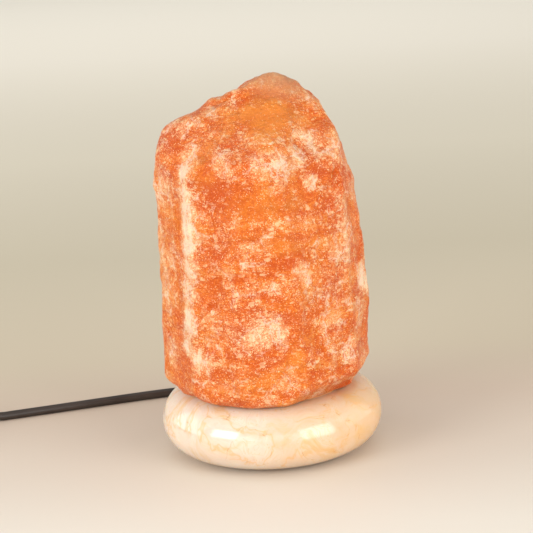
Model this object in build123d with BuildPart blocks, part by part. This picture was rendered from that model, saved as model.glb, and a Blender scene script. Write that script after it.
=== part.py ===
from build123d import *
import os
from math import cos, hypot, pi, radians, sin, sqrt, tan

# Salt crystal lamp: a hewn block of rock salt bonded to a polished stone disc, lit
# from inside by a small bulb on a clip-in lampholder, with its mains lead, in-line
# switch and plug. Millimetres, +Z up, origin on the table under the disc's centre.
# The lead leaves the back of the disc (+Y) and runs off to the left (-X).

# ---------------------------------------------------------------- driving sizes
# stone disc and what it stands on
BASE_RADIUS = 60.0
BASE_THICKNESS = 34.0
PAD_THICKNESS = 1.5
PAD_RADIUS = 5.5
PAD_RING_RADIUS = 34.0
BORE_RADIUS = 22.5
BORE_CHAMFER = 1.0
GROOVE_WIDTH = 10.0
GROOVE_DEPTH = 10.0
BOND_THICKNESS = 0.4
BOND_RADIUS = 40.0
BOND_SETBACK = 2.0

# salt block
SALT_WIDTH = 112.0
SALT_HEIGHT = 165.0
HEWN_EDGE_ROUND = 4.0
CAVITY_CLEARANCE = 5.0
CAVITY_END_ROUND = 5.0

# bulb with its small screw cap
BULB_LENGTH = 57.0
BULB_RADIUS = 13.0
BULB_WALL = 0.7
CAP_RADIUS = 6.9
CAP_WALL = 0.4
CAP_LENGTH = 17.0
CAP_LIP_RADIUS = 7.6
CAP_LIP_HEIGHT = 2.0
INSULATOR_HEIGHT = 3.0
INSULATOR_TIP_RADIUS = 3.0
CONTACT_RADIUS = 2.4
CONTACT_HEIGHT = 1.5
CONTACT_ROUND = 0.9
STEM_HEIGHT = 14.3
STEM_NECK_RADIUS = 2.3
STEM_HEAD_RADIUS = 2.0
FILAMENT_RADIUS = 0.25
FILAMENT_SPAN = 13.0
FILAMENT_RISE = 10.4
FILAMENT_SAG = 2.6
LEAD_WIRE_SPACING = 2.8
LEAD_WIRE_RISE = 2.3
THREAD_PITCH = 2.822
THREAD_TURNS = 6

# lampholder
HOLDER_RADIUS = 13.5
HOLDER_WALL = 1.7
HOLDER_CAP_HEIGHT = 14.0
HOLDER_BARREL_HEIGHT = 36.0
HOLDER_RIM_WIDTH = 1.2
SPIGOT_HEIGHT = 3.0
SPIGOT_WALL = 1.5
STUB_RADIUS = 5.0
STUB_BORE_RADIUS = 3.4
CORE_DISC_HEIGHT = 6.0
SCREW_SHELL_WALL = 0.4
SCREW_SHELL_GAP = 0.5
CONTACT_LEAF_THICKNESS = 0.5
CONTACT_LEAF_WIDTH = 4.0
CONTACT_LEAF_SETBACK = 1.5
TERMINAL_OFFSET = 6.0
TERMINAL_HEAD_RADIUS = 2.2
TERMINAL_HEAD_HEIGHT = 1.6
CLIP_THICKNESS = 0.8
CLIP_WIDTH = 10.0
CLIP_RISE = 46.0
CLIP_EYE_RIM = 3.5
CLIP_FOOT_GAP = 2.0
CLIP_TOE_OUT = 0.5
CLIP_BOW_RADIUS = 6.0
CLIP_CORNER_RADIUS = 2.0
NUT_ACROSS_FLATS = 14.0
NUT_HEIGHT = 3.0
GRIP_HEIGHT = 9.0
GRIP_TIP_RADIUS = 4.2

# mains lead: round, two cores
LEAD_RADIUS = 2.5
CORE_RADIUS = 1.1
LEAD_BEND_RADIUS = 20.0
LEAD_IN_HOLDER = 5.0
LEAD_BELOW_GRIP = 1.5
CORE_STRAIGHT = 3.0

# coil of put-away lead
COIL_RADIUS = 32.0
COIL_GAP = 0.5

# in-line switch
SWITCH_LENGTH = 58.0
SWITCH_WIDTH = 27.0
SWITCH_HEIGHT = 19.0
SWITCH_CORNER = 9.0
SWITCH_WALL = 1.8
SWITCH_EDGE_ROUND = 2.0
ROCKER_SWING = 9.9
ROCKER_WIDTH = 11.4
ROCKER_FACE = 4.0
ROCKER_DEPTH = 2.5
ROCKER_TILT = 9.0
ROCKER_DROP = 3.5
WELL_WALL = 1.4
WELL_DEPTH = 8.0
TRUNNION_RADIUS = 1.5
TRUNNION_LENGTH = 1.4
BOOT_ROOT_RADIUS = 4.4
BOOT_TIP_RADIUS = 3.2
BOOT_FLANGE = 1.2
SWITCH_SCREW_X = 19.0
SWITCH_SCREW_Y = 7.6
SWITCH_SCREW_RADIUS = 1.4
SWITCH_SCREW_LENGTH = 14.0
SCREW_HEAD_RADIUS = 2.6
SCREW_HEAD_HEIGHT = 1.6
SCREW_SLOT_WIDTH = 0.6
SCREW_SLOT_DEPTH = 0.8
SCREW_SINK = 0.4
TERMINAL_X = 16.0
TERMINAL_Y = 1.6
TERMINAL_SIDE = 4.5
TERMINAL_HEIGHT = 6.0

# flat two-pin plug
PLUG_LENGTH = 36.0
PLUG_WIDTH = 26.0
PLUG_NECK_WIDTH = 14.0
PLUG_THICKNESS = 13.7
PLUG_SHOULDER_SHARE = 0.45
PLUG_EDGE_ROUND = 2.0
PLUG_BOOT_LENGTH = 22.0
PLUG_BOOT_ROOT_RADIUS = 4.6
PIN_RADIUS = 2.0
PIN_LENGTH = 19.0
PIN_SPACING = 18.6
PIN_ROOT = 6.0

# clearances
SLIDE_CLEARANCE = 0.3
THREAD_CLEARANCE = 0.3
TIP_CLEARANCE = 0.2
SEAT_CLEARANCE = 0.1
TRUNNION_CLEARANCE = 0.08

# ------------------------------------------------------------- derived places
BASE_BOTTOM = PAD_THICKNESS
BASE_TOP = BASE_BOTTOM + BASE_THICKNESS
CRYSTAL_BOTTOM = BASE_TOP + BOND_THICKNESS

# the lead turns up into the holder, so its bend sets how high the holder hangs
GRIP_BOTTOM = LEAD_RADIUS + LEAD_BEND_RADIUS + LEAD_BELOW_GRIP
NUT_BOTTOM = GRIP_BOTTOM + GRIP_HEIGHT
CLIP_BOTTOM = NUT_BOTTOM + NUT_HEIGHT
HOLDER_BOTTOM = CLIP_BOTTOM + CLIP_THICKNESS
BARREL_BOTTOM = HOLDER_BOTTOM + HOLDER_CAP_HEIGHT
BARREL_TOP = BARREL_BOTTOM + HOLDER_BARREL_HEIGHT
SPIGOT_TOP = BARREL_BOTTOM + SPIGOT_HEIGHT
CORE_DISC_TOP = SPIGOT_TOP + CORE_DISC_HEIGHT
LEAD_TOP = HOLDER_BOTTOM + LEAD_IN_HOLDER
HOLDER_INSIDE = HOLDER_RADIUS - HOLDER_WALL

BULB_TIP = CORE_DISC_TOP + 2 * CONTACT_LEAF_THICKNESS + TIP_CLEARANCE
INSULATOR_BOTTOM = BULB_TIP + CONTACT_HEIGHT
CAP_BOTTOM = INSULATOR_BOTTOM + INSULATOR_HEIGHT
CAP_TOP = CAP_BOTTOM + CAP_LENGTH
BULB_TOP = BULB_TIP + BULB_LENGTH
SCREW_SHELL_TOP = CAP_TOP - CAP_LIP_HEIGHT - SCREW_SHELL_GAP
UNSCREW_RISE = THREAD_PITCH * THREAD_TURNS
CAVITY_TOP = BULB_TOP + UNSCREW_RISE + CAVITY_CLEARANCE

SWITCH_AXIS = SWITCH_HEIGHT / 2
PLUG_AXIS = PLUG_THICKNESS / 2
COIL_PITCH = 2 * LEAD_RADIUS + COIL_GAP

# --------------------------------------------------- the lead's route, by hand
# Round the back of the disc, then the straight stretch to the in-line switch.
GROOVE_END = (0, 52, LEAD_RADIUS)
CORD_RUN_POINTS = [
    GROOVE_END,
    (0, 86, LEAD_RADIUS),
    (-27.5, 107, LEAD_RADIUS),
    (-150, 70, LEAD_RADIUS),
    (-172, 63.4, SWITCH_AXIS),
    (-184, 59.8, SWITCH_AXIS),
]
# From the switch round and down to the coil.
CORD_LINK_POINTS = [
    (-277.8, 31.7, SWITCH_AXIS),
    (-300.8, 24.8, SWITCH_AXIS),
    (-314, 3, LEAD_RADIUS),
    (-314, -22, LEAD_RADIUS),
]
# Off the top of the coil and down to the plug beside it.
CORD_TAIL_POINTS = [
    (-319.5, -32, 19),
    (-319.5, -53, 19),
    (-304, -75, 11),
    (-280, -78, PLUG_AXIS),
    (-262, -78, PLUG_AXIS),
]
BEND_SHARE = 0.45

# ------------------------------------------------------- how the salt is hewn
# Each flat that the chisel left: the way it faces (degrees round from +X), how far it
# leans up (degrees), and one point on it: its reach from the axis as a share of half
# the block's width, and its height above the underside as a share of the block's.
HEWN_FACES = [
    # walls, round from the front
    (-90, 1.5, 0.902, 0.388),
    (-119, 1.5, 0.911, 0.388),
    (-152, 1.2, 0.92, 0.388),
    (180, 1.2, 0.996, 0.388),
    (140, 2, 0.982, 0.388),
    (95, 3, 0.839, 0.388),
    (50, 3, 0.929, 0.388),
    (4, 5.5, 0.939, 0.497),
    (2, -1, 0.991, 0.236),
    (-22, 3, 0.938, 0.267),
    (-52, 4, 0.884, 0.297),
    # shoulders and peak
    (-97, 56, 0.357, 0.909),
    (180, 62, 0.429, 0.918),
    (178, 27, 0.893, 0.8),
    (-142, 38, 0.732, 0.824),
    (3, 46, 0.482, 0.958),
    (2, 21, 0.786, 0.758),
    (-48, 42, 0.679, 0.812),
    (60, 50, 0.536, 0.915),
    (125, 45, 0.679, 0.861),
    (-75, 78, 0, 0.985),
    # undercut foot
    (180, -52, 0.946, 0.024),
    (-150, -50, 0.875, 0.024),
    (-118, -55, 0.902, 0.012),
    (-88, -60, 0.911, 0.012),
    (-48, -50, 0.804, 0.024),
    (-12, -38, 0.893, 0.048),
    (30, -50, 0.893, 0.036),
    (90, -50, 0.786, 0.036),
    (140, -50, 0.893, 0.036),
]


def hewn_plane(facing, lean, reach, height):
    """The plane of one hewn face of the salt block, with its normal outwards."""
    across = (cos(radians(facing)), sin(radians(facing)))
    out = reach * SALT_WIDTH / 2
    point = (out * across[0], out * across[1], CRYSTAL_BOTTOM + height * SALT_HEIGHT)
    level = cos(radians(lean))
    normal = (level * across[0], level * across[1], sin(radians(lean)))
    return Plane(origin=point, z_dir=normal)


def bend_radii(name, points):
    """The radius at each corner of a lead's route: as large as its two runs allow."""
    radii = []
    for before, corner, after in zip(points, points[1:], points[2:]):
        run_in = Vector(corner) - Vector(before)
        run_out = Vector(after) - Vector(corner)
        half_turn = radians(run_in.get_angle(run_out)) / 2
        radii.append(BEND_SHARE * min(run_in.length, run_out.length) / tan(half_turn))
    print(name, "bend radii:", [round(radius, 1) for radius in radii])
    return radii


# ------------------------------------------------------------ the stone body
with BuildPart() as base_pads:
    with BuildSketch(Plane.XY):
        with PolarLocations(PAD_RING_RADIUS, 4, start_angle=45):
            Circle(PAD_RADIUS)
    extrude(amount=PAD_THICKNESS)
base_pads.part.label = "base_pads"

# A turned disc with a fully rounded edge; the lead's groove is routed underneath.
with BuildPart() as stone_base:
    flat_radius = BASE_RADIUS - BASE_THICKNESS / 2
    base_middle = (BASE_BOTTOM + BASE_TOP) / 2
    with BuildSketch(Plane.XZ):
        with BuildLine():
            ThreePointArc(
                (flat_radius, BASE_BOTTOM), (BASE_RADIUS, base_middle), (flat_radius, BASE_TOP)
            )
            Polyline(
                (flat_radius, BASE_TOP),
                (BORE_RADIUS, BASE_TOP),
                (BORE_RADIUS, BASE_BOTTOM + BORE_CHAMFER),
                (BORE_RADIUS + BORE_CHAMFER, BASE_BOTTOM),
                (flat_radius, BASE_BOTTOM),
            )
        make_face()
    revolve(axis=Axis.Z)
    with BuildSketch(Plane.XZ):
        groove_round_at = BASE_BOTTOM + GROOVE_DEPTH - GROOVE_WIDTH / 2
        with Locations((0, groove_round_at)):
            Circle(GROOVE_WIDTH / 2)
        with Locations((0, groove_round_at)):
            Rectangle(GROOVE_WIDTH, GROOVE_DEPTH, align=(Align.CENTER, Align.MAX))
    extrude(amount=-BASE_RADIUS, mode=Mode.SUBTRACT)
stone_base.part.label = "stone_base"

with BuildPart() as bond_layer:
    with BuildSketch(Plane.XY.offset(BASE_TOP)):
        Circle(BOND_RADIUS)
        Circle(BORE_RADIUS + BOND_SETBACK, mode=Mode.SUBTRACT)
    extrude(amount=BOND_THICKNESS)
bond_layer.part.label = "bond_layer"

# An oversize blank is cut flat by flat, its arrises worn round, then core-drilled for
# the bulb.
with BuildPart() as salt_crystal:
    with BuildSketch(Plane.XY.offset(CRYSTAL_BOTTOM)):
        Rectangle(2 * SALT_WIDTH, 2 * SALT_WIDTH)
    extrude(amount=2 * SALT_HEIGHT)
    for face in HEWN_FACES:
        split(bisect_by=hewn_plane(*face), keep=Keep.BOTTOM)
    fillet(salt_crystal.edges(), HEWN_EDGE_ROUND)
    with BuildSketch(Plane.XY.offset(CRYSTAL_BOTTOM)):
        Circle(BORE_RADIUS)
    extrude(amount=CAVITY_TOP - CRYSTAL_BOTTOM, mode=Mode.SUBTRACT)
    cavity_end = salt_crystal.edges().filter_by(GeomType.CIRCLE)
    fillet(cavity_end.filter_by_position(Axis.Z, CAVITY_TOP, CAVITY_TOP), CAVITY_END_ROUND)
salt_crystal.part.label = "salt_crystal"

# ------------------------------------------------------------- the lampholder
with BuildPart() as lampholder_cap:
    shoulder = HOLDER_RADIUS - STUB_RADIUS
    spigot_radius = HOLDER_INSIDE - SEAT_CLEARANCE
    with BuildSketch(Plane.XZ):
        with BuildLine():
            Polyline(
                (STUB_BORE_RADIUS, NUT_BOTTOM),
                (STUB_RADIUS, NUT_BOTTOM),
                (STUB_RADIUS, HOLDER_BOTTOM),
                (STUB_RADIUS + shoulder / 2, HOLDER_BOTTOM),
            )
            ThreePointArc(
                (STUB_RADIUS + shoulder / 2, HOLDER_BOTTOM),
                (
                    HOLDER_RADIUS - shoulder / 2 * (1 - sqrt(0.5)),
                    HOLDER_BOTTOM + shoulder / 2 * (1 - sqrt(0.5)),
                ),
                (HOLDER_RADIUS, HOLDER_BOTTOM + shoulder / 2),
            )
            Polyline(
                (HOLDER_RADIUS, HOLDER_BOTTOM + shoulder / 2),
                (HOLDER_RADIUS, BARREL_BOTTOM),
                (spigot_radius, BARREL_BOTTOM),
                (spigot_radius, SPIGOT_TOP),
                (spigot_radius - SPIGOT_WALL, SPIGOT_TOP),
                (spigot_radius - SPIGOT_WALL, HOLDER_BOTTOM + shoulder / 2),
                (STUB_RADIUS + SPIGOT_WALL, HOLDER_BOTTOM + HOLDER_WALL),
                (STUB_BORE_RADIUS, HOLDER_BOTTOM + HOLDER_WALL),
                (STUB_BORE_RADIUS, NUT_BOTTOM),
            )
        make_face()
    revolve(axis=Axis.Z)
lampholder_cap.part.label = "lampholder_cap"

with BuildPart() as lampholder_barrel:
    with BuildSketch(Plane.XZ):
        with BuildLine():
            Polyline(
                (HOLDER_INSIDE, BARREL_BOTTOM),
                (HOLDER_RADIUS, BARREL_BOTTOM),
                (HOLDER_RADIUS, BARREL_TOP - 2 * HOLDER_RIM_WIDTH),
                (HOLDER_RADIUS + HOLDER_RIM_WIDTH / 2, BARREL_TOP - 1.5 * HOLDER_RIM_WIDTH),
                (HOLDER_RADIUS + HOLDER_RIM_WIDTH / 2, BARREL_TOP - HOLDER_RIM_WIDTH / 2),
                (HOLDER_RADIUS, BARREL_TOP),
                (HOLDER_INSIDE, BARREL_TOP),
                (HOLDER_INSIDE, BARREL_BOTTOM),
            )
        make_face()
    revolve(axis=Axis.Z)
lampholder_barrel.part.label = "lampholder_barrel"

with BuildPart() as lampholder_insulator:
    with BuildSketch(Plane.XY.offset(SPIGOT_TOP)):
        Circle(HOLDER_INSIDE - SEAT_CLEARANCE)
        with Locations((-TERMINAL_OFFSET, 0), (TERMINAL_OFFSET, 0)):
            Circle(CORE_RADIUS + SEAT_CLEARANCE, mode=Mode.SUBTRACT)
    extrude(amount=CORE_DISC_HEIGHT)
lampholder_insulator.part.label = "lampholder_insulator"

# Rolled brass sleeve that takes the bulb's cap, on a flange that rests on the disc.
with BuildPart() as lampholder_screw_shell:
    sleeve_inside = CAP_RADIUS + THREAD_CLEARANCE
    with BuildSketch(Plane.XY.offset(CORE_DISC_TOP)):
        Circle(HOLDER_INSIDE - SCREW_SHELL_WALL)
        Circle(sleeve_inside, mode=Mode.SUBTRACT)
    extrude(amount=SCREW_SHELL_WALL)
    with BuildSketch(Plane.XY.offset(CORE_DISC_TOP)):
        Circle(sleeve_inside + SCREW_SHELL_WALL)
        Circle(sleeve_inside, mode=Mode.SUBTRACT)
    extrude(amount=SCREW_SHELL_TOP - CORE_DISC_TOP)
lampholder_screw_shell.part.label = "lampholder_screw_shell"

# Folded bronze leaf, sprung up under the bulb's tip.
with BuildPart() as lampholder_centre_contact:
    leaf_end = sleeve_inside - CONTACT_LEAF_SETBACK
    with BuildSketch(Plane.XZ):
        with BuildLine():
            Polyline(
                (leaf_end, CORE_DISC_TOP),
                (leaf_end, CORE_DISC_TOP + CONTACT_LEAF_THICKNESS),
                (-CONTACT_RADIUS / 2, CORE_DISC_TOP + CONTACT_LEAF_THICKNESS),
                (-CONTACT_RADIUS, CORE_DISC_TOP + 2 * CONTACT_LEAF_THICKNESS),
                (-CONTACT_RADIUS, CORE_DISC_TOP),
                (leaf_end, CORE_DISC_TOP),
            )
        make_face()
    extrude(amount=CONTACT_LEAF_WIDTH / 2, both=True)
lampholder_centre_contact.part.label = "lampholder_centre_contact"

with BuildPart() as terminal_screws:
    with BuildSketch(Plane.XY.offset(SPIGOT_TOP - TERMINAL_HEAD_HEIGHT)):
        with Locations((0, -TERMINAL_OFFSET), (0, TERMINAL_OFFSET)):
            Circle(TERMINAL_HEAD_RADIUS)
    extrude(amount=TERMINAL_HEAD_HEIGHT)
    fillet(terminal_screws.faces().sort_by(Axis.Z)[:2].edges(), TERMINAL_HEAD_HEIGHT / 4)
    with BuildSketch(Plane.XY.offset(SPIGOT_TOP - TERMINAL_HEAD_HEIGHT)):
        with Locations((0, -TERMINAL_OFFSET), (0, TERMINAL_OFFSET)):
            Rectangle(2 * TERMINAL_HEAD_RADIUS, TERMINAL_HEAD_HEIGHT / 3)
    extrude(amount=TERMINAL_HEAD_HEIGHT / 2, mode=Mode.SUBTRACT)
terminal_screws.part.label = "terminal_screws"

# Spring strip: its legs bow out and just touch the bore's wall, which holds the unit.
with BuildPart() as spring_clip:
    clip_middle = CLIP_BOTTOM + CLIP_THICKNESS / 2
    corner_reach = sqrt((BORE_RADIUS - SLIDE_CLEARANCE) ** 2 - (CLIP_WIDTH / 2) ** 2)
    leg_reach = corner_reach - CLIP_THICKNESS / 2
    foot_reach = HOLDER_RADIUS + CLIP_FOOT_GAP
    with BuildSketch(Plane.XZ):
        with BuildLine():
            FilletPolyline(
                (-foot_reach - CLIP_TOE_OUT, clip_middle + CLIP_RISE),
                (-leg_reach, clip_middle + CLIP_RISE / 2),
                (-foot_reach, clip_middle),
                (foot_reach, clip_middle),
                (leg_reach, clip_middle + CLIP_RISE / 2),
                (foot_reach + CLIP_TOE_OUT, clip_middle + CLIP_RISE),
                radius=[
                    CLIP_BOW_RADIUS,
                    CLIP_CORNER_RADIUS,
                    CLIP_CORNER_RADIUS,
                    CLIP_BOW_RADIUS,
                ],
            )
        trace(line_width=CLIP_THICKNESS)
    extrude(amount=CLIP_WIDTH / 2, both=True)
    with BuildSketch(Plane.XY.offset(CLIP_BOTTOM)):
        Circle(STUB_RADIUS + CLIP_EYE_RIM)
    extrude(amount=CLIP_THICKNESS)
    with BuildSketch(Plane.XY.offset(CLIP_BOTTOM)):
        Circle(STUB_RADIUS + SEAT_CLEARANCE)
    extrude(amount=CLIP_THICKNESS, mode=Mode.SUBTRACT)
spring_clip.part.label = "spring_clip"

with BuildPart() as clip_nut:
    with BuildSketch(Plane.XY.offset(NUT_BOTTOM)):
        RegularPolygon(NUT_ACROSS_FLATS / 2, 6, major_radius=False)
        Circle(STUB_RADIUS + SEAT_CLEARANCE, mode=Mode.SUBTRACT)
    extrude(amount=NUT_HEIGHT)
clip_nut.part.label = "clip_nut"

# Nylon collar that grips the lead under the holder.
with BuildPart() as cord_grip:
    with BuildSketch(Plane.XY.offset(GRIP_BOTTOM)):
        Circle(GRIP_TIP_RADIUS)
    with BuildSketch(Plane.XY.offset(NUT_BOTTOM)):
        Circle(STUB_RADIUS + SEAT_CLEARANCE)
    loft()
    with BuildSketch(Plane.XY.offset(GRIP_BOTTOM)):
        Circle(LEAD_RADIUS + SEAT_CLEARANCE)
    extrude(amount=GRIP_HEIGHT, mode=Mode.SUBTRACT)
cord_grip.part.label = "cord_grip"

with BuildPart() as core_wires:
    for side in (-1, 1):
        core_start = side * (CORE_RADIUS + SEAT_CLEARANCE)
        core_route = [
            (core_start, 0, LEAD_TOP),
            (core_start, 0, LEAD_TOP + CORE_STRAIGHT),
            (side * TERMINAL_OFFSET, 0, SPIGOT_TOP - CORE_STRAIGHT),
            (side * TERMINAL_OFFSET, 0, CORE_DISC_TOP),
        ]
        with BuildLine() as core_path:
            FilletPolyline(*core_route, radius=2 * CORE_RADIUS)
        with BuildSketch(Plane(origin=core_path.line @ 0, z_dir=core_path.line % 0)):
            Circle(CORE_RADIUS)
        sweep(path=core_path.line)
core_wires.part.label = "core_wires"

# ------------------------------------------------------------------- the bulb
with BuildPart() as bulb_contact:
    with BuildSketch(Plane.XY.offset(BULB_TIP)):
        Circle(CONTACT_RADIUS)
    extrude(amount=CONTACT_HEIGHT)
    fillet(bulb_contact.edges().group_by(Axis.Z)[0], CONTACT_ROUND)
bulb_contact.part.label = "bulb_contact"

with BuildPart() as bulb_insulator:
    with BuildSketch(Plane.XY.offset(INSULATOR_BOTTOM)):
        Circle(INSULATOR_TIP_RADIUS)
    with BuildSketch(Plane.XY.offset(CAP_BOTTOM)):
        Circle(CAP_RADIUS - CAP_WALL)
    loft()
bulb_insulator.part.label = "bulb_insulator"

with BuildPart() as bulb_cap:
    with BuildSketch(Plane.XZ):
        with BuildLine():
            Polyline(
                (CAP_RADIUS - CAP_WALL, CAP_BOTTOM),
                (CAP_RADIUS, CAP_BOTTOM),
                (CAP_RADIUS, CAP_TOP - CAP_LIP_HEIGHT),
                (CAP_LIP_RADIUS, CAP_TOP),
                (CAP_LIP_RADIUS - CAP_WALL, CAP_TOP),
                (CAP_RADIUS - CAP_WALL, CAP_TOP - CAP_LIP_HEIGHT),
                (CAP_RADIUS - CAP_WALL, CAP_BOTTOM),
            )
        make_face()
    revolve(axis=Axis.Z)
bulb_cap.part.label = "bulb_cap"


def envelope(radius, neck, top):
    """Half outline of the bulb's glass, from its neck in the cap up to its crown."""
    middle = top - radius
    with BuildSketch(Plane.XZ) as outline:
        with BuildLine():
            Spline(
                (neck, CAP_TOP),
                ((neck + radius) / 2, (CAP_TOP + middle) / 2),
                (radius, middle),
                tangents=[(0, 1), (0, 1)],
            )
            ThreePointArc(
                (radius, middle),
                (radius * sqrt(0.5), middle + radius * sqrt(0.5)),
                (0, top),
            )
            Polyline((0, top), (0, CAP_TOP), (neck, CAP_TOP))
        make_face()
    return outline.sketch


with BuildPart() as bulb_glass:
    revolve(envelope(BULB_RADIUS, CAP_LIP_RADIUS - CAP_WALL, BULB_TOP), axis=Axis.Z)
    revolve(
        envelope(
            BULB_RADIUS - BULB_WALL,
            CAP_LIP_RADIUS - CAP_WALL - BULB_WALL,
            BULB_TOP - BULB_WALL,
        ),
        axis=Axis.Z,
        mode=Mode.SUBTRACT,
    )
bulb_glass.part.label = "bulb_glass"

# Glass stem pinched flat at its head, where the filament's wires come through.
with BuildPart() as bulb_stem:
    with BuildSketch(Plane.XY.offset(CAP_TOP)):
        Circle(CAP_RADIUS - 2 * CAP_WALL - BULB_WALL)
    with BuildSketch(Plane.XY.offset(CAP_TOP + STEM_HEIGHT / 2)):
        Circle(STEM_NECK_RADIUS)
    with BuildSketch(Plane.XY.offset(CAP_TOP + STEM_HEIGHT)):
        Circle(STEM_HEAD_RADIUS)
    loft(ruled=True)
bulb_stem.part.label = "bulb_stem"

with BuildPart() as bulb_filament:
    stem_top = CAP_TOP + STEM_HEIGHT
    filament_route = [
        (-LEAD_WIRE_SPACING / 2, 0, stem_top),
        (-LEAD_WIRE_SPACING / 2, 0, stem_top + LEAD_WIRE_RISE),
        (-FILAMENT_SPAN / 2, 0, stem_top + FILAMENT_RISE),
        (0, 0, stem_top + FILAMENT_RISE - FILAMENT_SAG),
        (FILAMENT_SPAN / 2, 0, stem_top + FILAMENT_RISE),
        (LEAD_WIRE_SPACING / 2, 0, stem_top + LEAD_WIRE_RISE),
        (LEAD_WIRE_SPACING / 2, 0, stem_top),
    ]
    with BuildLine() as filament_path:
        FilletPolyline(*filament_route, radius=4 * FILAMENT_RADIUS)
    with BuildSketch(Plane(origin=filament_path.line @ 0, z_dir=filament_path.line % 0)):
        Circle(FILAMENT_RADIUS)
    sweep(path=filament_path.line)
bulb_filament.part.label = "bulb_filament"

# ------------------------------------------------------------- the mains lead
with BuildPart() as lead_in_base:
    with BuildLine() as lead_path:
        FilletPolyline(
            (0, 0, LEAD_TOP), (0, 0, LEAD_RADIUS), GROOVE_END, radius=LEAD_BEND_RADIUS
        )
    with BuildSketch(Plane(origin=lead_path.line @ 0, z_dir=lead_path.line % 0)):
        Circle(LEAD_RADIUS)
    sweep(path=lead_path.line)
lead_in_base.part.label = "lead_in_base"

with BuildPart() as cord_run:
    with BuildLine() as run_path:
        FilletPolyline(*CORD_RUN_POINTS, radius=bend_radii("cord_run", CORD_RUN_POINTS))
    with BuildSketch(Plane(origin=run_path.line @ 0, z_dir=run_path.line % 0)):
        Circle(LEAD_RADIUS)
    sweep(path=run_path.line)
cord_run.part.label = "cord_run"

with BuildPart() as cord_link:
    with BuildLine() as link_path:
        FilletPolyline(*CORD_LINK_POINTS, radius=bend_radii("cord_link", CORD_LINK_POINTS))
    with BuildSketch(Plane(origin=link_path.line @ 0, z_dir=link_path.line % 0)):
        Circle(LEAD_RADIUS)
    sweep(path=link_path.line)
cord_link.part.label = "cord_link"

with BuildPart() as cord_tail:
    with BuildLine() as tail_path:
        FilletPolyline(*CORD_TAIL_POINTS, radius=bend_radii("cord_tail", CORD_TAIL_POINTS))
    with BuildSketch(Plane(origin=tail_path.line @ 0, z_dir=tail_path.line % 0)):
        Circle(LEAD_RADIUS)
    sweep(path=tail_path.line)
cord_tail.part.label = "cord_tail"

# The coil: half turns that wind in on one layer and out on the next. The half turn
# where the spiral reverses climbs a layer, as two equal arcs with level ends.
half_pitch = COIL_PITCH / 2
coil_steps = [(1, 0), (2, 0), (3, 1), (2, 0), (1, 0), (0, 0), (-1, 1)]
coil_steps += [(0, 0), (1, 0), (2, 0), (3, 1), (2, 0), (1, 0), (0, 0)]
coil_start = Vector(*CORD_LINK_POINTS[-1]) - Vector(0, 2 * LEAD_RADIUS, 0)
with BuildPart() as cord_coil:
    with BuildLine() as coil_path:
        Line(CORD_LINK_POINTS[-1], coil_start)
        at = coil_start
        way = 1
        for steps_in, climbs in coil_steps:
            turn_radius = COIL_RADIUS - steps_in * half_pitch
            centre = at + Vector(way * turn_radius, 0, 0)
            end = centre + Vector(way * turn_radius, 0, climbs * COIL_PITCH)
            if climbs:
                reach = hypot(turn_radius, COIL_PITCH / 2)
                middle = centre + Vector(0, -way * reach, COIL_PITCH / 2)
                TangentArc(at, middle, tangent=(0, -way, 0))
                TangentArc(end, middle, tangent=(0, -way, 0))
            else:
                ThreePointArc(at, centre + Vector(0, -way * turn_radius, 0), end)
            at = end
            way = -way
        Line(at, at - Vector(0, 2 * LEAD_RADIUS, 0))
    with BuildSketch(Plane(origin=coil_path.line @ 0, z_dir=coil_path.line % 0)):
        Circle(LEAD_RADIUS)
    sweep(path=coil_path.line)
cord_coil.part.label = "cord_coil"
print("coil ends at", at)

# ------------------------------------------------------- the in-line switch
# Its own frame: origin on the table under its middle, x along the lead, away
# from the lamp, y towards the front.
switch_entry = Vector(*CORD_RUN_POINTS[-1])
switch_exit = Vector(*CORD_LINK_POINTS[0])
switch_along = (switch_exit - switch_entry).normalized()
switch_middle = (switch_entry + switch_exit) * 0.5
switch_floor = Plane(
    origin=(switch_middle.X, switch_middle.Y, 0), x_dir=switch_along, z_dir=(0, 0, 1)
)
switch_split = switch_floor.offset(SWITCH_AXIS)
screw_spots = [(SWITCH_SCREW_X, SWITCH_SCREW_Y), (-SWITCH_SCREW_X, -SWITCH_SCREW_Y)]
boss_radius = SCREW_HEAD_RADIUS + SWITCH_WALL / 2
inside_length = SWITCH_LENGTH - 2 * SWITCH_WALL
inside_width = SWITCH_WIDTH - 2 * SWITCH_WALL
inside_corner = SWITCH_CORNER - SWITCH_WALL


def across_lead(distance):
    """A plane square to the lead inside the switch, at a distance from its middle."""
    return Plane(
        origin=switch_split.from_local_coords((distance, 0, 0)),
        x_dir=switch_split.y_dir,
        z_dir=switch_along,
    )


with BuildPart() as switch_lower_shell:
    with BuildSketch(switch_floor):
        RectangleRounded(SWITCH_LENGTH, SWITCH_WIDTH, SWITCH_CORNER)
    extrude(amount=SWITCH_AXIS)
    fillet(switch_lower_shell.edges().group_by(Axis.Z)[0], SWITCH_EDGE_ROUND)
    with BuildSketch(switch_floor.offset(SWITCH_WALL)):
        RectangleRounded(inside_length, inside_width, inside_corner)
    extrude(amount=SWITCH_AXIS, mode=Mode.SUBTRACT)
    with BuildSketch(switch_floor):
        with Locations(*screw_spots):
            Circle(boss_radius)
    extrude(amount=SWITCH_AXIS)
    with BuildSketch(switch_floor):
        with Locations(*screw_spots):
            Circle(SCREW_HEAD_RADIUS + SEAT_CLEARANCE)
    extrude(amount=SCREW_SINK + SCREW_HEAD_HEIGHT, mode=Mode.SUBTRACT)
    with BuildSketch(switch_floor):
        with Locations(*screw_spots):
            Circle(SWITCH_SCREW_RADIUS + SEAT_CLEARANCE)
    extrude(amount=SWITCH_AXIS, mode=Mode.SUBTRACT)
    with BuildSketch(across_lead(0)):
        Circle(BOOT_ROOT_RADIUS + SEAT_CLEARANCE)
    extrude(amount=SWITCH_LENGTH, both=True, mode=Mode.SUBTRACT)
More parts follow.
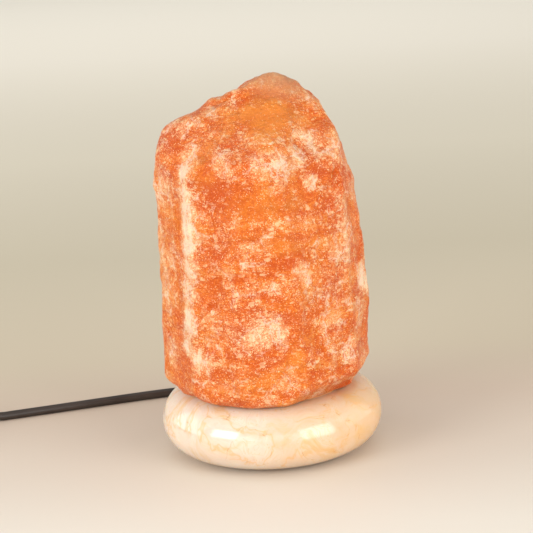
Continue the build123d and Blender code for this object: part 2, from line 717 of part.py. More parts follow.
switch_lower_shell.part.label = "switch_lower_shell"

# The rocker tips in a well that hangs from the top; its ends are round about its axis.
rocker_height = SWITCH_HEIGHT - ROCKER_DROP
rocker_side = Plane(
    origin=switch_floor.from_local_coords((0, 0, rocker_height)),
    x_dir=switch_along,
    z_dir=-switch_floor.y_dir,
)
well_half_length = ROCKER_SWING + SLIDE_CLEARANCE
well_half_width = ROCKER_WIDTH / 2 + SLIDE_CLEARANCE
trunnion_reach = ROCKER_WIDTH / 2 + TRUNNION_LENGTH

with BuildPart() as switch_upper_shell:
    with BuildSketch(switch_split):
        RectangleRounded(SWITCH_LENGTH, SWITCH_WIDTH, SWITCH_CORNER)
    extrude(amount=SWITCH_HEIGHT - SWITCH_AXIS)
    fillet(switch_upper_shell.edges().group_by(Axis.Z)[-1], SWITCH_EDGE_ROUND)
    with BuildSketch(switch_split):
        RectangleRounded(inside_length, inside_width, inside_corner)
    extrude(amount=SWITCH_HEIGHT - SWITCH_WALL - SWITCH_AXIS, mode=Mode.SUBTRACT)
    with BuildSketch(switch_floor.offset(SWITCH_HEIGHT - WELL_DEPTH)):
        Rectangle(2 * (well_half_length + WELL_WALL), 2 * (well_half_width + WELL_WALL))
    extrude(amount=WELL_DEPTH - SWITCH_WALL)
    with BuildSketch(switch_floor.offset(SWITCH_HEIGHT - WELL_DEPTH)):
        Rectangle(2 * well_half_length, 2 * well_half_width)
    extrude(amount=WELL_DEPTH, mode=Mode.SUBTRACT)
    with BuildSketch(rocker_side):
        Circle(TRUNNION_RADIUS + TRUNNION_CLEARANCE)
    extrude(amount=trunnion_reach + SEAT_CLEARANCE, both=True, mode=Mode.SUBTRACT)
    with BuildSketch(switch_split):
        with Locations(*screw_spots):
            Circle(boss_radius)
    extrude(amount=SWITCH_HEIGHT - SWITCH_WALL - SWITCH_AXIS)
    with BuildSketch(switch_split):
        with Locations(*screw_spots):
            Circle(SWITCH_SCREW_RADIUS + SEAT_CLEARANCE)
    extrude(amount=SWITCH_HEIGHT - 2 * SWITCH_WALL - SWITCH_AXIS, mode=Mode.SUBTRACT)
    with BuildSketch(across_lead(0)):
        Circle(BOOT_ROOT_RADIUS + SEAT_CLEARANCE)
    extrude(until=Until.LAST, mode=Mode.SUBTRACT)
    with BuildSketch(across_lead(0)):
        Circle(BOOT_ROOT_RADIUS + SEAT_CLEARANCE)
    extrude(amount=-SWITCH_LENGTH, mode=Mode.SUBTRACT)
switch_upper_shell.part.label = "switch_upper_shell"

# It stands tipped to one side, with the far half of its face level.
rocker_tip = radians(ROCKER_TILT)
rocker_along = switch_along * cos(rocker_tip) - Vector(0, 0, sin(rocker_tip))
with BuildPart() as switch_rocker:
    with BuildSketch(Plane(rocker_side.origin, x_dir=rocker_along, z_dir=rocker_side.z_dir)):
        Circle(ROCKER_SWING)
        with BuildLine():
            face_end = 2 * ROCKER_SWING
            face_rise = ROCKER_FACE + face_end * tan(radians(ROCKER_TILT))
            Polyline(
                (-face_end, -ROCKER_DEPTH),
                (face_end, -ROCKER_DEPTH),
                (face_end, face_rise),
                (0, ROCKER_FACE),
                (-face_end, face_rise),
                (-face_end, -ROCKER_DEPTH),
            )
        make_face(mode=Mode.INTERSECT)
    extrude(amount=ROCKER_WIDTH / 2, both=True)
    with BuildSketch(rocker_side):
        Circle(TRUNNION_RADIUS)
    extrude(amount=trunnion_reach, both=True)
switch_rocker.part.label = "switch_rocker"

with BuildPart() as switch_screws:
    head_face = switch_floor.offset(SCREW_SINK)
    with BuildSketch(head_face):
        with Locations(*screw_spots):
            Circle(SCREW_HEAD_RADIUS)
    extrude(amount=SCREW_HEAD_HEIGHT - SEAT_CLEARANCE)
    with BuildSketch(head_face):
        with Locations(*screw_spots):
            Circle(SWITCH_SCREW_RADIUS)
    extrude(amount=SWITCH_SCREW_LENGTH)
    with BuildSketch(head_face):
        with Locations(*screw_spots):
            Rectangle(SCREW_HEAD_RADIUS, SCREW_SLOT_WIDTH)
            Rectangle(SCREW_SLOT_WIDTH, SCREW_HEAD_RADIUS)
    extrude(amount=SCREW_SLOT_DEPTH, mode=Mode.SUBTRACT)
switch_screws.part.label = "switch_screws"

# Tapered boots, moulded round the lead, each held by a flange behind the wall.
boot_inside = SWITCH_LENGTH / 2 - SWITCH_WALL - SEAT_CLEARANCE
boot_outside = (switch_exit - switch_entry).length / 2
with BuildPart() as switch_boots:
    for side in (-1, 1):
        with BuildSketch(across_lead(side * (boot_inside - BOOT_FLANGE / 2))):
            Circle(BOOT_ROOT_RADIUS + BOOT_FLANGE)
        extrude(amount=BOOT_FLANGE / 2, both=True)
        with BuildSketch(across_lead(side * SWITCH_LENGTH / 2)):
            Circle(BOOT_ROOT_RADIUS)
        extrude(amount=-side * 2 * SWITCH_WALL)
        with BuildSketch(across_lead(side * SWITCH_LENGTH / 2)):
            Circle(BOOT_ROOT_RADIUS)
        with BuildSketch(across_lead(side * boot_outside)):
            Circle(BOOT_TIP_RADIUS)
        loft()
switch_boots.part.label = "switch_boots"

with BuildPart() as switch_terminals:
    with BuildSketch(switch_floor.offset(SWITCH_WALL)):
        with Locations((-TERMINAL_X, TERMINAL_Y), (TERMINAL_X, TERMINAL_Y)):
            Rectangle(TERMINAL_SIDE, TERMINAL_SIDE)
    extrude(amount=TERMINAL_HEIGHT)
    fillet(switch_terminals.edges().filter_by(Axis.Z), TERMINAL_SIDE / 10)
switch_terminals.part.label = "switch_terminals"

core_end = boot_inside - 2 * BOOT_FLANGE
side_lane = inside_width / 2 - 2 * CORE_RADIUS
through_core = [
    (-core_end, -CORE_RADIUS - SEAT_CLEARANCE, 0),
    (-core_end + CORE_STRAIGHT, -CORE_RADIUS - SEAT_CLEARANCE, 0),
    (-core_end / 2, -side_lane / 2, -CORE_RADIUS),
    (core_end / 2, -side_lane / 2, -CORE_RADIUS),
    (core_end - CORE_STRAIGHT, -CORE_RADIUS - SEAT_CLEARANCE, 0),
    (core_end, -CORE_RADIUS - SEAT_CLEARANCE, 0),
]
with BuildPart() as switch_cores:
    with BuildLine(switch_split) as through_path:
        FilletPolyline(*through_core, radius=2 * CORE_RADIUS)
    with BuildSketch(Plane(origin=through_path.line @ 0, z_dir=through_path.line % 0)):
        Circle(CORE_RADIUS)
    sweep(path=through_path.line)
    for side in (-1, 1):
        with BuildSketch(across_lead(side * core_end)):
            with Locations((CORE_RADIUS + SEAT_CLEARANCE, 0)):
                Circle(CORE_RADIUS)
        extrude(amount=-side * (core_end - TERMINAL_X - TERMINAL_SIDE / 2))
switch_cores.part.label = "switch_cores"

# ------------------------------------------------------------------- the plug
plug_rear_x = CORD_TAIL_POINTS[-1][0] + PLUG_BOOT_LENGTH
plug_front_x = plug_rear_x + PLUG_LENGTH
plug_shoulder_x = plug_rear_x + PLUG_SHOULDER_SHARE * PLUG_LENGTH
plug_y = CORD_TAIL_POINTS[-1][1]
pin_spots = [(plug_y - PIN_SPACING / 2, PLUG_AXIS), (plug_y + PIN_SPACING / 2, PLUG_AXIS)]

with BuildPart() as plug_body:
    with BuildSketch(Plane.XY):
        with BuildLine():
            Polyline(
                (plug_rear_x, plug_y - PLUG_NECK_WIDTH / 2),
                (plug_shoulder_x, plug_y - PLUG_WIDTH / 2),
                (plug_front_x, plug_y - PLUG_WIDTH / 2),
                (plug_front_x, plug_y + PLUG_WIDTH / 2),
                (plug_shoulder_x, plug_y + PLUG_WIDTH / 2),
                (plug_rear_x, plug_y + PLUG_NECK_WIDTH / 2),
                close=True,
            )
        make_face()
    extrude(amount=PLUG_THICKNESS)
    fillet(plug_body.edges().filter_by(Axis.Z).group_by(Axis.X)[0], PLUG_EDGE_ROUND)
    fillet(plug_body.edges().group_by(Axis.Z)[0], PLUG_EDGE_ROUND)
    fillet(plug_body.edges().group_by(Axis.Z)[-1], PLUG_EDGE_ROUND)
    with BuildSketch(Plane.YZ.offset(plug_front_x - PIN_ROOT)):
        with Locations(*pin_spots):
            Circle(PIN_RADIUS + SEAT_CLEARANCE)
    extrude(amount=PLUG_LENGTH, mode=Mode.SUBTRACT)
plug_body.part.label = "plug_body"

with BuildPart() as plug_pins:
    with BuildSketch(Plane.YZ.offset(plug_front_x - PIN_ROOT)):
        with Locations(*pin_spots):
            Circle(PIN_RADIUS)
    extrude(amount=PIN_ROOT + PIN_LENGTH)
    fillet(plug_pins.edges().group_by(Axis.X)[-1], PIN_RADIUS / 2)
plug_pins.part.label = "plug_pins"

with BuildPart() as plug_boot:
    with BuildSketch(Plane.YZ.offset(plug_rear_x)):
        with Locations((plug_y, PLUG_AXIS)):
            Circle(PLUG_BOOT_ROOT_RADIUS)
    with BuildSketch(Plane.YZ.offset(plug_rear_x - PLUG_BOOT_LENGTH)):
        with Locations((plug_y, PLUG_AXIS)):
            Circle(BOOT_TIP_RADIUS)
    loft()
plug_boot.part.label = "plug_boot"

# --------------------------------------------------------------------- output
# Each stretch of lead holds as much as its section times its length.
section = pi * LEAD_RADIUS**2
lead_length = 0
for stretch, path in (
    (lead_in_base, lead_path),
    (cord_run, run_path),
    (cord_link, link_path),
    (cord_coil, coil_path),
    (cord_tail, tail_path),
):
    length = path.wire().length
    lead_length += length
    held = stretch.part.volume / (section * length)
    print(stretch.part.label, "length", round(length, 1), "volume over section x length", round(held, 4))
print("lead from the holder to the plug's boot:", round(lead_length), "mm")

# The least gap between the coil's turns, measured on points along its middle line.
coil_wire = coil_path.wire()
samples = 700
spots = [coil_wire @ (step / samples) for step in range(samples + 1)]
apart = int(samples * 2 * COIL_RADIUS / coil_wire.length)
least = min(
    (spots[first] - spots[second]).length
    for first in range(samples)
    for second in range(first + apart, samples + 1)
)
print("least gap between turns:", round(least - 2 * LEAD_RADIUS, 2), "mm")

os.makedirs("parts", exist_ok=True)
for piece in (
    salt_crystal,
    bond_layer,
    stone_base,
    base_pads,
    lampholder_cap,
    lampholder_barrel,
    lampholder_insulator,
    lampholder_screw_shell,
    lampholder_centre_contact,
    terminal_screws,
    spring_clip,
    clip_nut,
    cord_grip,
    core_wires,
    bulb_contact,
    bulb_insulator,
    bulb_cap,
    bulb_glass,
    bulb_stem,
    bulb_filament,
    lead_in_base,
    cord_run,
    cord_link,
    cord_coil,
    cord_tail,
    switch_lower_shell,
    switch_upper_shell,
    switch_rocker,
    switch_screws,
    switch_boots,
    switch_terminals,
    switch_cores,
    plug_body,
    plug_pins,
    plug_boot,
):
    export_step(piece.part, f"parts/{piece.part.label}.step")
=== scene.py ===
import math
from functools import partial

import bmesh
import bpy
import numpy as np
from bpy.props import FloatProperty, FloatVectorProperty, IntProperty, PointerProperty
from mathutils import Matrix, Vector


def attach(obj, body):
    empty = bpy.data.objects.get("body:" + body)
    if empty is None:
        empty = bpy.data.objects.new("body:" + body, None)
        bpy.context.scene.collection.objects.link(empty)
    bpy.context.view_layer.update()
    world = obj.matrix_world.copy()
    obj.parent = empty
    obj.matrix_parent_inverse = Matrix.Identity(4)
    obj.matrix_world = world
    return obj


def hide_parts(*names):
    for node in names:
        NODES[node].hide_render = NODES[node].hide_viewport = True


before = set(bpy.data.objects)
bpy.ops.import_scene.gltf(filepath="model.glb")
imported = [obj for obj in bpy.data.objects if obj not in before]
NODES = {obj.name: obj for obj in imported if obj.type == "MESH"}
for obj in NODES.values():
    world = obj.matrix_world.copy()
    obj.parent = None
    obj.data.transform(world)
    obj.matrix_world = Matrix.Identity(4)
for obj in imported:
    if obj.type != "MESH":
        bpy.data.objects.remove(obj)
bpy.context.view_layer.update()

bl_info = {
    "name": "Salt crystal lamp", "version": (1, 0, 0), "blender": (4, 5, 0),
    "location": "3D View > Sidebar > Salt Lamp",
    "description": "Dresses a salt crystal lamp, its bulb unit, mains lead, switch and plug",
    "category": "Add Mesh",
}

# Lengths below are metres, as the frame's are; MM turns a size in millimetres into them.
MM = 0.001


def linear(hex_colour):
    """An sRGB colour written as #RRGGBB, as linear red, green and blue."""
    channels = [int(hex_colour[place : place + 2], 16) / 255 for place in (1, 3, 5)]
    return tuple(
        channel / 12.92 if channel <= 0.04045 else ((channel + 0.055) / 1.055) ** 2.4
        for channel in channels
    )


# ------------------------------------------------------------- sizes and colours
COLOUR = {"subtype": "COLOR", "size": 3}


class SaltSettings(bpy.types.PropertyGroup):
    """The hewn block of rock salt."""

    mesh_size: FloatProperty(
        name="Mesh size", description="Side of one face of the skin", default=1.05 * MM, unit="LENGTH"
    )
    chip_size: FloatProperty(
        name="Chip size", description="Width of one chisel flat", default=17 * MM, unit="LENGTH"
    )
    chip_tilt: FloatProperty(
        name="Chip tilt", description="Slope of a chisel flat against its wall", default=0.13
    )
    swell: FloatProperty(
        name="Swell", description="Height of the slow waves in the walls", default=1.3 * MM, unit="LENGTH"
    )
    strata: FloatProperty(
        name="Strata", description="Relief of the beds of salt", default=0.5 * MM, unit="LENGTH"
    )
    grain: FloatProperty(
        name="Grain", description="Relief of the broken grain", default=0.4 * MM, unit="LENGTH"
    )
    seed: IntProperty(name="Seed", description="Changes every chip and bed", default=7)
    deep: FloatVectorProperty(
        name="Deep salt", description="Clear salt stained by iron", default=linear("#D05208"), **COLOUR
    )
    middle: FloatVectorProperty(
        name="Middle salt", description="Most of the block", default=linear("#E57118"), **COLOUR
    )
    light: FloatVectorProperty(
        name="Light salt", description="Cloudy salt", default=linear("#EE9840"), **COLOUR
    )
    cloud: FloatVectorProperty(
        name="Cloudy salt", description="Veils in the salt", default=linear("#F3AE7A"), **COLOUR
    )
    crumb: FloatVectorProperty(
        name="Crumbs", description="Crumbs that catch the light", default=linear("#FADCAE"), **COLOUR
    )
    pale: FloatVectorProperty(
        name="Pale salt", description="Worn arrises and white beds", default=linear("#F9DCC4"), **COLOUR
    )


class StoneSettings(bpy.types.PropertyGroup):
    """The turned and polished stone disc."""

    cream: FloatVectorProperty(
        name="Cream", description="Body of the stone", default=linear("#D3C1B0"), **COLOUR
    )
    ochre: FloatVectorProperty(
        name="Ochre", description="Veins stained by iron", default=linear("#D9A25A"), **COLOUR
    )
    vein_size: FloatProperty(
        name="Vein size", description="Spacing of the veins", default=42 * MM, unit="LENGTH"
    )


class LeadSettings(bpy.types.PropertyGroup):
    """The mains lead, its boots and its coil."""

    diameter: FloatProperty(
        name="Diameter", description="Thickness of the lead", default=5 * MM, unit="LENGTH"
    )
    coil_radius: FloatProperty(
        name="Coil radius", description="Radius of the coil's outer turns", default=32 * MM, unit="LENGTH"
    )
    turn_pitch: FloatProperty(
        name="Turn pitch", description="From one turn to the next", default=5.5 * MM, unit="LENGTH"
    )
    boot_ribs: IntProperty(name="Boot ribs", description="Ribs round each tapered boot", default=6)


class BulbSettings(bpy.types.PropertyGroup):
    """The small bulb and the holder's rolled threads."""

    thread_pitch: FloatProperty(
        name="Thread pitch", description="Rise of the thread in one turn", default=2.822 * MM, unit="LENGTH"
    )
    thread_depth: FloatProperty(
        name="Thread depth", description="Depth of the rolled thread", default=0.5 * MM, unit="LENGTH"
    )
    filament_coil: FloatProperty(
        name="Filament coil", description="Radius of the wound filament", default=0.22 * MM, unit="LENGTH"
    )


class StageSettings(bpy.types.PropertyGroup):
    """Camera, lamps and backdrop."""

    lens: FloatProperty(name="Lens", description="Focal length in millimetres", default=122.4)
    key_power: FloatProperty(name="Key", description="Power of the left softbox", default=9.2)
    fill_power: FloatProperty(name="Fill", description="Power of the right softbox", default=10.6)
    top_power: FloatProperty(name="Top", description="Power of the overhead softbox", default=4.5)
    left_power: FloatProperty(name="Left wall", description="Power of the left wall light", default=8.5)
    right_power: FloatProperty(name="Right wall", description="Power of the right wall light", default=4.8)
    front_power: FloatProperty(name="Front", description="Power of the low front light", default=6.0)
    back_power: FloatProperty(name="Back", description="Power of the backdrop's light", default=30.0)
    world_strength: FloatProperty(name="Room", description="Strength of the room's light", default=0.5)


class LampSettings(bpy.types.PropertyGroup):
    """Every size and colour of the dressed lamp."""

    salt: PointerProperty(type=SaltSettings)
    stone: PointerProperty(type=StoneSettings)
    lead: PointerProperty(type=LeadSettings)
    bulb: PointerProperty(type=BulbSettings)
    stage: PointerProperty(type=StageSettings)


# ---------------------------------------------------------------- node helpers
# The kinds of node that come up most. MIX on colours takes sockets 6 and 7 and gives output 2.
MATH = "ShaderNodeMath"
VECTOR_MATH = "ShaderNodeVectorMath"
MAP_RANGE = "ShaderNodeMapRange"
NOISE = "ShaderNodeTexNoise"
RAMP = "ShaderNodeValToRGB"
BUMP = "ShaderNodeBump"
MIX = "ShaderNodeMix"
CELLS = "ShaderNodeTexVoronoi"
MAPPING = "ShaderNodeMapping"
COMBINE = "ShaderNodeCombineXYZ"
SET_POSITION = "GeometryNodeSetPosition"
CURVE_TO_MESH = "GeometryNodeCurveToMesh"
CIRCLE = "GeometryNodeCurvePrimitiveCircle"


def set_inputs(node, inputs):
    """Sets or links a node's sockets. A node stands for its first output.

    inputs names or numbers the sockets, or gives the first ones in order.
    """
    for socket, value in inputs.items() if isinstance(inputs, dict) else enumerate(inputs):
        source = value.outputs[0] if isinstance(value, bpy.types.Node) else value
        if isinstance(source, bpy.types.NodeSocket):
            node.id_data.links.new(source, node.inputs[socket])
        else:
            node.inputs[socket].default_value = source


def add_node(tree, kind, inputs=(), stops=(), **settings):
    """Adds one node with its settings and links; stops fills a ramp."""
    node = tree.nodes.new(kind)
    for name, value in settings.items():
        setattr(node, name, value)
    set_inputs(node, inputs)
    for number, (place, colour) in enumerate(stops):
        ramp = node.color_ramp.elements
        stop = ramp[number] if number < 2 else ramp.new(place)
        stop.position = place
        stop.color = (*colour, 1.0) if isinstance(colour, tuple) else (colour, colour, colour, 1.0)
    return node


def start_material(name):
    """A new material: what adds nodes to it, its Principled shader and its Object coordinates."""
    material = bpy.data.materials.new(name)
    material.use_nodes = True
    add = partial(add_node, material.node_tree)
    shader = material.node_tree.nodes["Principled BSDF"]
    place = add("ShaderNodeTexCoord").outputs["Object"]
    return material, add, shader, place


# -------------------------------------------------------------- mesh helpers
# Points nearer to each other than this, in metres, are welded into one.
WELD = 1e-6


def add_object(name, data):
    """A new object in the scene."""
    thing = bpy.data.objects.new(name, data)
    bpy.context.scene.collection.objects.link(thing)
    return thing


def empty_piece(name):
    """A new mesh object with nothing in it yet."""
    return add_object(name, bpy.data.meshes.new(name))


def cad_copy(name, node):
    """A new object holding a copy of a CAD node's mesh, with its loose triangles merged."""
    piece = empty_piece(name)
    shape = bmesh.new()
    shape.from_mesh(NODES[node].data)
    bmesh.ops.remove_doubles(shape, verts=shape.verts, dist=WELD)
    shape.to_mesh(piece.data)
    shape.free()
    return piece


def keep_result(piece):
    """Turns what the piece's modifiers make into its plain mesh."""
    depsgraph = bpy.context.evaluated_depsgraph_get()
    piece.data = bpy.data.meshes.new_from_object(
        piece.evaluated_get(depsgraph), preserve_all_data_layers=True, depsgraph=depsgraph
    )
    piece.modifiers.clear()
    if not piece.data.polygons:
        raise RuntimeError(f"{piece.name} came out with no faces")


def run_tree(piece, tree, values):
    """Runs a geometry nodes tree with its named inputs set, and keeps the mesh it makes."""
    modifier = piece.modifiers.new(tree.name, "NODES")
    modifier.node_group = tree
    for item in tree.interface.items_tree:
        if item.in_out == "INPUT" and item.name in values:
            modifier[item.identifier] = values[item.name]
    keep_result(piece)


def start_tree(name, **sockets):
    """A new geometry nodes tree with the inputs named, what adds nodes to it, and its inputs."""
    tree = bpy.data.node_groups.new(name, "GeometryNodeTree")
    tree.interface.new_socket("Geometry", in_out="INPUT", socket_type="NodeSocketGeometry")
    for socket, kind in sockets.items():
        tree.interface.new_socket(
            socket.replace("_", " "), in_out="INPUT", socket_type="NodeSocket" + kind
        )
    tree.interface.new_socket("Geometry", in_out="OUTPUT", socket_type="NodeSocketGeometry")
    add = partial(add_node, tree)
    return tree, add, add("NodeGroupInput").outputs


def end_tree(tree, geometry, material):
    """Closes a tree: instances realised, the material set, the result sent out."""
    real = add_node(tree, "GeometryNodeRealizeInstances", {"Geometry": geometry})
    painted = add_node(tree, "GeometryNodeSetMaterial", {"Geometry": real, "Material": material})
    add_node(tree, "NodeGroupOutput", {"Geometry": painted})
    return tree


def dress(material, *nodes):
    """Gives CAD nodes that stay as they are a finer material."""
    for node in nodes:
        for slot in NODES[node].material_slots:
            slot.material = material


def smooth(piece, angle=None):
    """Smooth shading, with edges sharper than angle (degrees) left crisp."""
    for face in piece.data.polygons:
        face.use_smooth = True
    if angle is not None:
        piece.data.set_sharp_from_angle(angle=math.radians(angle))


# ------------------------------------------------------------------ materials
def rock_salt(settings):
    """Rock salt, hewn and brushed: a milky body stained by iron, with white beds and grain.

    The eye gets soft depth, pale arrises that are worn salt and in part a painted highlight on the ridges,
    and a sparkle from the broken grain that is in part painted glints.
    """
    material, add, shader, place = start_material("rock_salt_hewn")
    field = {"place": place}
    # beds lie nearly level, loose grain lies along them, and the veils are torn upright
    for name, turn, stretch in (
        ("beds", (0.05, -0.07, 0), (1, 1, 3.2)),
        ("lying", (0.1, -0.2, 0), (0.74, 0.74, 1.2)),
        ("upright", (0.1, 0.16, 0), (1, 1, 0.3)),
    ):
        field[name] = add(MAPPING, {"Vector": place, "Rotation": turn, "Scale": stretch})
    # stain clouds 34 mm across, beds about 8 mm thick, veils of 15 mm torn into fibres 1.6 mm
    # wide, sugar of 1 mm and specks of 0.6 mm
    for name, along, size, detail, roughness, distortion in (
        ("clouds", "place", 34, 5, 0.6, 0.9),
        ("layers", "beds", 27, 8, 0.72, 0.5),
        ("blotches", "place", 15, 10, 0.74, 1.2),
        ("fibres", "upright", 1.6, 4, 0.65, 1.2),
        ("sugar", "lying", 0.85, 3, 0.72, 0.9),
        ("specks", "place", 0.62, 1, 0.5, 0.3),
    ):
        field[name] = add(NOISE, {
            "Vector": field[along], "Scale": 1 / (size * MM), "Detail": detail,
            "Roughness": roughness, "Distortion": distortion,
        })
    # loose flakes 2 mm long, and fractures 13 mm apart: both drawn on shaken coordinates
    for name, along, size, detail, roughness, shake in (
        ("flake_place", "lying", 2.5, 4, 0.5, 2.2),
        ("crack_place", "place", 7, 5, 0.7, 12),
    ):
        noise = add(NOISE, {
            "Vector": field[along], "Scale": 1 / (size * MM), "Detail": detail, "Roughness": roughness,
        })
        field[name] = add(
            VECTOR_MATH, (noise.outputs["Color"], (shake * MM, shake * MM, shake * MM), field[along]),
            operation="MULTIPLY_ADD",
        )
    cells = add(CELLS, {"Vector": field["flake_place"], "Scale": 1 / (1.5 * MM)})
    field["flake"] = add("ShaderNodeSeparateColor", {"Color": cells.outputs["Color"]})
    edge = add(
        CELLS, {"Vector": field["crack_place"], "Scale": 1 / (13 * MM)}, feature="DISTANCE_TO_EDGE"
    )
    field["line"] = add(
        MAP_RANGE, {"Value": edge, "From Min": 0.012, "From Max": 0.05, "To Min": 1.0, "To Max": 0.0}
    )
    # broken cubes of salt 4 mm wide, seen in the relief alone
    cubes = add(
        CELLS,
        {"Vector": place, "Scale": 1 / (4 * MM), "Detail": 2, "Roughness": 0.6}, distance="CHEBYCHEV",
    )
    field["cubes"] = add(MATH, (cubes, 0.5), operation="MULTIPLY")
    for name in ("worn", "cloudy", "stained", "dusty"):
        field[name] = add("ShaderNodeAttribute", attribute_name=name).outputs["Fac"]
    # weighted sums of the above: each starts from a field or a number and adds shares of others
    field["base_shade"] = -0.43
    for name, base, parts in (
        ("shade", "base_shade", {"clouds": 0.45, "layers": 0.8, "sugar": 1.0, "stained": -0.1}),
        ("iron", "clouds", {"stained": 0.36}),
        # the cloudy spots bring a painted highlight on the left front ridge, and worn arrises are partly a
        # painted highlight on the ridges
        ("zone", "blotches", {"cloudy": 0.2, "worn": 0.2, "layers": 0.35, "stained": -0.18}),
        ("veil", "zone", {"fibres": 0.55}),
        ("crumbs", "sugar", {"zone": 0.35}),
        ("sparks", "specks", {"zone": 0.3}),
        ("flakes", "flake", {"zone": 0.4}),
        ("relief", "cubes", {"blotches": 3.2, "layers": 1.6, "sugar": 0.9, "line": -0.3}),
    ):
        total = field[base]
        for part, share in parts.items():
            total = add(MATH, (field[part], share, total), operation="MULTIPLY_ADD")
        field[name] = total
    # old fractures: dark hairlines in the stain clouds, healed with white salt in the veils
    for name, source, low, high in (("hairline", "clouds", 0.5, 0.58), ("healed", "zone", 0.66, 0.78)):
        here = add(MAP_RANGE, {"Value": field[source], "From Min": low, "From Max": high})
        field[name] = add(MATH, (field["line"], here), operation="MULTIPLY")
    colour = add(RAMP, {"Fac": field["shade"]}, stops=[
        (0.6, tuple(settings.deep)), (0.74, tuple(settings.middle)), (0.92, tuple(settings.light)),
    ])
    # laid over the body one by one: field, where it starts and is full, how thick, and its colour
    for source, low, high, most, tint in (
        ("iron", 0.5, 0.8, 0.72, linear("#EA8A2C")),
        ("hairline", 0.0, 1.0, 0.3, linear("#B8420C")),
        ("veil", 0.97, 1.2, 0.8, tuple(settings.cloud)),
        ("flakes", 1.16, 1.26, 0.5, tuple(settings.crumb)),
        ("crumbs", 0.86, 0.91, 0.7, tuple(settings.crumb)),
        ("veil", 1.16, 1.28, 0.75, tuple(settings.pale)),
        # sparks: tiny cream dots, pale grains of salt and painted glints on the broken grain
        ("sparks", 0.855, 0.885, 0.85, linear("#FDE3B4")),
        ("healed", 0.2, 1.0, 0.6, tuple(settings.pale)),
        # greyish pale at the top of the peak
        ("dusty", 0.0, 1.0, 1.0, linear("#CC9264")),
    ):
        share = add(
            MAP_RANGE, {"Value": field[source], "From Min": low, "From Max": high, "To Max": most}
        )
        colour = add(MIX, {0: share, 6: colour, 7: (*tint, 1)}, data_type="RGBA").outputs[2]
    gloss = add(MAP_RANGE, {"Value": field["sugar"], "To Min": 0.2, "To Max": 0.5})
    bump = add(BUMP, {"Height": field["relief"], "Strength": 0.85, "Distance": 1.3 * MM})
    # broken grain shades itself, so the block shines less than a polished piece of salt
    set_inputs(shader, {
        "Base Color": colour, "Roughness": gloss, "Normal": bump, "Subsurface Weight": 0.2,
        "Subsurface Radius": (1.0, 0.34, 0.14), "Subsurface Scale": 5 * MM, "IOR": 1.54,
        "Specular IOR Level": 0.3,
    })
    return material


def polished_stone(settings):
    """Cream marble, turned and polished: soft clouds, ochre veins and hairline cracks."""
    material, add, shader, place = start_material("marble_polished")
    swirl = add(NOISE, {"Vector": place, "Scale": 1 / (48 * MM), "Detail": 3}).outputs["Color"]
    # clouds and veins follow coordinates that swirl by up to 50 mm
    bent = add(VECTOR_MATH, (swirl, (50 * MM, 50 * MM, 50 * MM), place), operation="MULTIPLY_ADD")
    clouds = add(
        NOISE, {"Vector": bent, "Scale": 1 / (30 * MM), "Detail": 7, "Roughness": 0.62, "Distortion": 1.1}
    )
    body = add(RAMP, {"Fac": clouds}, stops=[
        (0.34, linear("#D1B690")), (0.45, tuple(settings.cream)),
        (0.56, linear("#D8C9B8")), (0.7, linear("#D5B382")),
    ])
    # painted reflection: the disc turns warm ochre towards +X, its right side, standing in for the orange
    # salt reflected in the polish
    side = add("ShaderNodeSeparateXYZ", (bent,))
    salt_reflection_tint = add(MAP_RANGE, {"Value": side, "From Min": 0.0, "From Max": 0.1, "To Max": 0.75})
    body = add(MIX, {0: salt_reflection_tint, 6: body, 7: (*linear("#D0A268"), 1)}, data_type="RGBA").outputs[2]
    # veins follow the lines where a bent noise passes through its middle value
    veins = add(NOISE, {
        "Vector": bent, "Scale": 1 / settings.vein_size, "Detail": 5, "Roughness": 0.55,
        "Distortion": 1.4,
    })
    vein_line = add(RAMP, {"Fac": veins}, stops=[
        (0.44, 0.0), (0.486, 0.18), (0.497, 0.52), (0.503, 0.52), (0.514, 0.18), (0.56, 0.0),
    ])
    # fine growth lines, like those of wood, run beside the veins where the clouds are pale
    growth = add(MATH, (veins, 0.016), operation="PINGPONG")
    growth = add(
        MAP_RANGE, {"Value": growth, "From Min": 0.0, "From Max": 0.005, "To Min": 0.34, "To Max": 0.0}
    )
    growth_here = add(MAP_RANGE, {"Value": clouds, "From Min": 0.44, "From Max": 0.54})
    growth = add(MATH, (growth, growth_here), operation="MULTIPLY")
    vein_line = add(MATH, (growth, vein_line), operation="MAXIMUM")
    veined = add(MIX, {0: vein_line, 6: body, 7: (*settings.ochre, 1)}, data_type="RGBA").outputs[2]
    cracks = add(CELLS, {"Vector": bent, "Scale": 1 / (17 * MM)}, feature="DISTANCE_TO_EDGE")
    crack_line = add(RAMP, {"Fac": cracks}, stops=[(0.0, 1.0), (0.016, 0.0)])
    broken = add(MATH, (crack_line, vein_line), operation="MULTIPLY")
    cracked = add(MIX, {0: broken, 6: veined, 7: (*linear("#9A6A38"), 1)}, data_type="RGBA").outputs[2]
    polish = add(BUMP, {"Height": clouds, "Strength": 0.25, "Distance": 0.25 * MM})
    set_inputs(shader, {
        "Base Color": cracked, "Roughness": 0.13, "IOR": 1.56, "Subsurface Weight": 0.7,
        "Subsurface Radius": (1.0, 0.7, 0.45), "Subsurface Scale": 14 * MM, "Normal": polish,
    })
    return material


